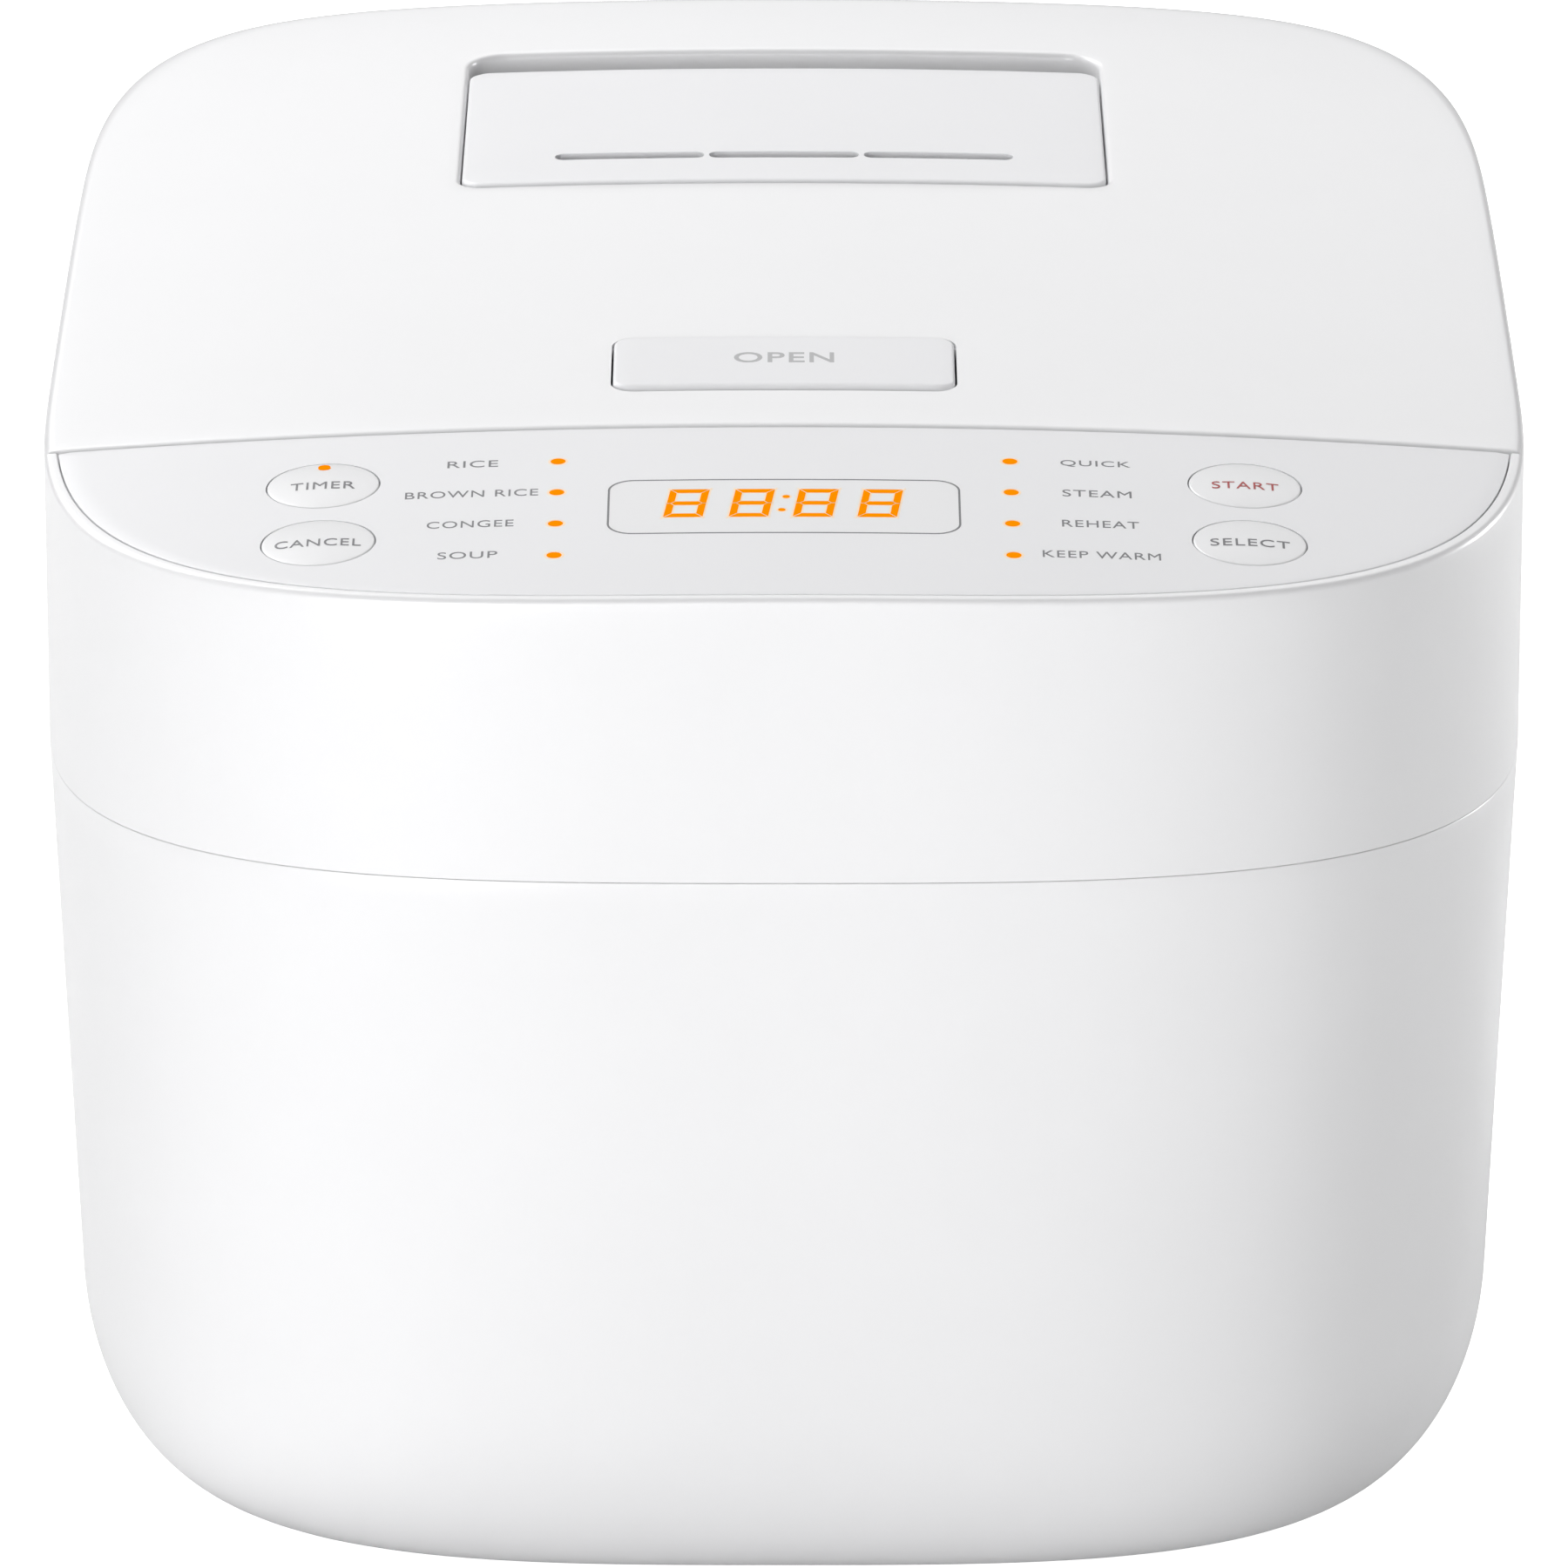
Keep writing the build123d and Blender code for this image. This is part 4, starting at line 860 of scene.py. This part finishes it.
def on_key(node):
    """Height of a button's crowned face, over the plane that touches the panel at its middle."""
    cx, cy = KEY_PLACES[node]
    height = dome(BUTTON_RADIUS, BUTTON_DOME)
    rise = float(top_z(cx, cy)) + PRINT

    def face(x, y):
        plane = rise - 2 * CROWN * cx * (x - cx) + PANEL_SLOPE * (y - cy)
        return plane + height(np.hypot(x - cx, y - cy))
    return face


LEGEND_ROWS = (-94.7, -107.3, -120.0, -132.85)
PROGRAMS = [("rice", "RICE", -51.8, 0, 8.45), ("brown_rice", "BROWN RICE", -51.7, 1, 22.05),
            ("congee", "CONGEE", -51.65, 2, 14.3), ("soup", "SOUP", -51.8, 3, 9.8),
            ("quick", "QUICK", 51.8, 0, 11.6), ("steam", "STEAM", 51.8, 1, 11.45),
            ("reheat", "REHEAT", 52.1, 2, 12.7), ("keep_warm", "KEEP WARM", 52.0, 3, 19.35)]
KEY_WORDS = {"timer_button": ("TIMER", 10.7, "legend_grey"), "cancel_button": ("CANCEL", 14.2, "legend_grey"),
             "start_button": ("START", 11.1, "legend_red"), "select_button": ("SELECT", 13.1, "legend_grey")}
CAPITAL = 2.8
WORD_FORWARD = 1.2         # how far a button's word sits in front of the button's middle
OPEN_Y, OPEN_WIDTH, OPEN_HEIGHT, OPEN_WEIGHT = -50.6, 17.0, 4.6, 0.012


def legends():
    for name, word, x, row, width in PROGRAMS:
        legend("legend_" + name, word, x, LEGEND_ROWS[row], width, CAPITAL, "casing", "legend_grey")
    for node, (word, width, material) in KEY_WORDS.items():
        x, y = KEY_PLACES[node]
        legend("legend_" + word.lower(), word, x, y - WORD_FORWARD, width, CAPITAL, KEYS[node], material,
               on_key(node))
    legend("legend_open", "OPEN", 0, OPEN_Y, OPEN_WIDTH, OPEN_HEIGHT, "release_button", "legend_pale",
           lambda x, y: top_z(x, y) + KEY_LIFT, weight=OPEN_WEIGHT)


def raised(name, outlines, low, high, material, body, slot, surface_z=top_z):
    """Flat shapes standing a little above the surface, from their outlines."""
    points, faces = [], []
    for outline in outlines:
        first, count = len(points), len(outline)
        for rise in (low, high):
            points += [(x, y, float(surface_z(x, y)) + rise) for x, y in outline]
        upper = first + count
        faces += [tuple(range(first, upper))[::-1], tuple(range(upper, upper + count))]
        for i in range(count):
            following = (i + 1) % count
            faces.append((first + i, first + following, upper + following, upper + i))
    mesh = bpy.data.meshes.new(name)
    mesh.from_pydata((np.array(points) * MM).tolist(), [], faces)
    clean(mesh)
    add_print(new_object(name, mesh), material, body)


DIGIT_WIDTH, DIGIT_HEIGHT, DIGIT_LEAN = 6.5, 11.5, 1.15
BAR_WIDE, BAR_TALL, BAR_GAP = 1.2, 1.4, 0.15
PAINTED_GLOW = 0.32                # width of the painted glow, a pale ring of colour round the figures and the lamps that stands in for their light
DIGIT_X = (-16.1, -5.3, 5.25, 15.9)
FIGURES_Y = -113.1
COLON, COLON_RADIUS = ((0.36, -110.5), (-0.36, -116.0)), 0.62
FIGURE_HEIGHTS, PAINTED_GLOW_HEIGHTS = (-0.02, 0.05), (-0.03, 0.02)


def segments(x):
    """The seven bars of one figure as outlines, mitred where they meet."""
    wide, tall, g = DIGIT_WIDTH / 2, DIGIT_HEIGHT / 2, BAR_GAP
    a, b, h = BAR_WIDE, BAR_TALL, BAR_TALL / 2
    top = [(-wide + g, tall), (wide - g, tall), (wide - a - g, tall - b), (-wide + a + g, tall - b)]
    side = [(wide, tall - g), (wide, g), (wide - a / 2, g), (wide - a, h + g), (wide - a, tall - b - g)]
    middle = [(-wide + a / 2 + g, 0), (-wide + a + g, h), (wide - a - g, h),
              (wide - a / 2 - g, 0), (wide - a - g, -h), (-wide + a + g, -h)]
    shapes = [top, [(u, -v) for u, v in top], middle]
    for su in (1, -1):
        for sv in (1, -1):
            shapes.append([(su * u, sv * v) for u, v in side])
    return [[(x + u + DIGIT_LEAN * v / DIGIT_HEIGHT, FIGURES_Y + v) for u, v in shape] for shape in shapes]


def dot(x, y, radius, count=20):
    turns = [2 * pi * i / count for i in range(count)]
    return [(x + radius * cos(a), y + radius * sin(a)) for a in turns]


def grown(shape, by):
    """A convex outline moved outwards."""
    points = np.array(shape)
    side = np.roll(points, -1, 0) - points
    following = np.roll(side, -1, 0)
    if (side[:, 0] * following[:, 1] - side[:, 1] * following[:, 0]).sum() < 0:
        return grown(shape[::-1], by)
    out = np.stack([side[:, 1], -side[:, 0]], 1) / np.linalg.norm(side, axis=1)[:, None]
    before = np.roll(out, 1, 0)
    return (points + by * (out + before) / (1 + (out * before).sum(1))[:, None]).tolist()


def figures():
    outlines = [shape for x in DIGIT_X for shape in segments(x)]
    outlines += [dot(x, y, COLON_RADIUS) for x, y in COLON]
    raised("display_figures", outlines, *FIGURE_HEIGHTS, "lamp_amber", "casing", "lamp_amber")
    # Painted glow: pale rings of colour round each figure, standing in for the light that spills from it.
    edges = [grown(shape, PAINTED_GLOW) for shape in outlines]
    raised("display_painted_glow", edges, *PAINTED_GLOW_HEIGHTS, "glow", "casing", "display_window")
    # Painted glow round each mode lamp: a pale ring of colour standing in for its light.
    rounds = [dot(x, y, LAMP_RADIUS + PAINTED_GLOW) for x, y in LAMP_PLACES]
    raised("lamp_painted_glow", rounds, *PAINTED_GLOW_HEIGHTS, "glow", "casing", "panel_white")


legends()
figures()


# ---- camera, floor and light ------------------------------------------------------------------
TARGET = Vector((0, WIDEST_Y * MM, 0.1147))
ELEVATION, DISTANCE, LENS, SENSOR = radians(18.523), 2.08293, 277.54, 36.0
FLOOR_HALF = 6.0
WORLD_STRENGTH = 0.08

# Name, place from the middle of the casing, power, width and height.
LIGHTS = [
    ("front_left", (-0.9, -2.1, 0.2), 34, 0.8, 1.8),
    ("front_low", (-0.6, -2.1, 0.0), 17, 0.6, 1.0),
    ("front", (-0.4, -2.2, 0.7), 9, 1.6, 1.6),
    ("above_left", (-0.7, 0.7, 0.9), 13, 0.8, 0.8),
    ("above_back", (0.0, 1.4, 1.7), 12.6, 2.0, 1.2),
    ("back", (0.0, 1.9, 1.0), 6, 2.0, 0.8),
    ("right_low", (1.6, 0.9, 0.15), 24, 0.5, 0.8),
    ("right_back", (1.7, 1.2, 0.6), 4, 0.8, 1.6),
]


def aim(thing, place):
    """Puts a camera or light at a place counted from the target, and turns it to the target."""
    thing.location = TARGET + place
    thing.rotation_mode = "QUATERNION"
    thing.rotation_quaternion = (-place).to_track_quat("-Z", "Y")


def add_camera():
    data = bpy.data.cameras.new("camera")
    data.lens, data.sensor_width = LENS, SENSOR
    data.clip_start, data.clip_end = 0.1, 50.0
    camera = new_object("camera", data)
    aim(camera, Vector((0, -cos(ELEVATION), sin(ELEVATION))) * DISTANCE)
    bpy.context.scene.camera = camera


def add_floor():
    """A pale floor that the camera itself sees as plain white."""
    corners = [(x * FLOOR_HALF, y * FLOOR_HALF, 0) for x, y in ((-1, -1), (1, -1), (1, 1), (-1, 1))]
    mesh = bpy.data.meshes.new("floor")
    mesh.from_pydata(corners, [], [(0, 1, 2, 3)])
    floor = new_object("floor", mesh)
    pale = surface("floor", (0.75, 0.75, 0.75), (0.8, 0.9), 20, 0.0, 0.01, Emission_Color=(1, 1, 1, 1))
    tree, shader = nodes_of(pale)
    path = tree.nodes.new("ShaderNodeLightPath")
    tree.links.new(path.outputs["Is Camera Ray"], shader.inputs["Emission Strength"])
    mesh.materials.append(pale)


def add_light(name, place, power, width, height):
    data = bpy.data.lights.new(name, "AREA")
    data.shape, data.size, data.size_y, data.energy = "RECTANGLE", width, height, power
    aim(new_object(name, data), Vector(place))


def add_world():
    """Soft light from all round; the camera itself sees plain white."""
    world = bpy.data.worlds.new("studio")
    bpy.context.scene.world = world
    world.use_nodes = True
    tree = world.node_tree
    soft = tree.nodes["Background"]
    plain = tree.nodes.new("ShaderNodeBackground")
    for background, strength in ((soft, WORLD_STRENGTH), (plain, 1.0)):
        background.inputs["Color"].default_value = (1, 1, 1, 1)
        background.inputs["Strength"].default_value = strength
    path = tree.nodes.new("ShaderNodeLightPath")
    mix = tree.nodes.new("ShaderNodeMixShader")
    tree.links.new(path.outputs["Is Camera Ray"], mix.inputs["Fac"])
    tree.links.new(soft.outputs["Background"], mix.inputs[1])
    tree.links.new(plain.outputs["Background"], mix.inputs[2])
    tree.links.new(mix.outputs["Shader"], tree.nodes["World Output"].inputs["Surface"])


add_camera()
add_floor()
add_world()
for light in LIGHTS:
    add_light(*light)
bpy.context.scene.view_settings.view_transform = "Standard"
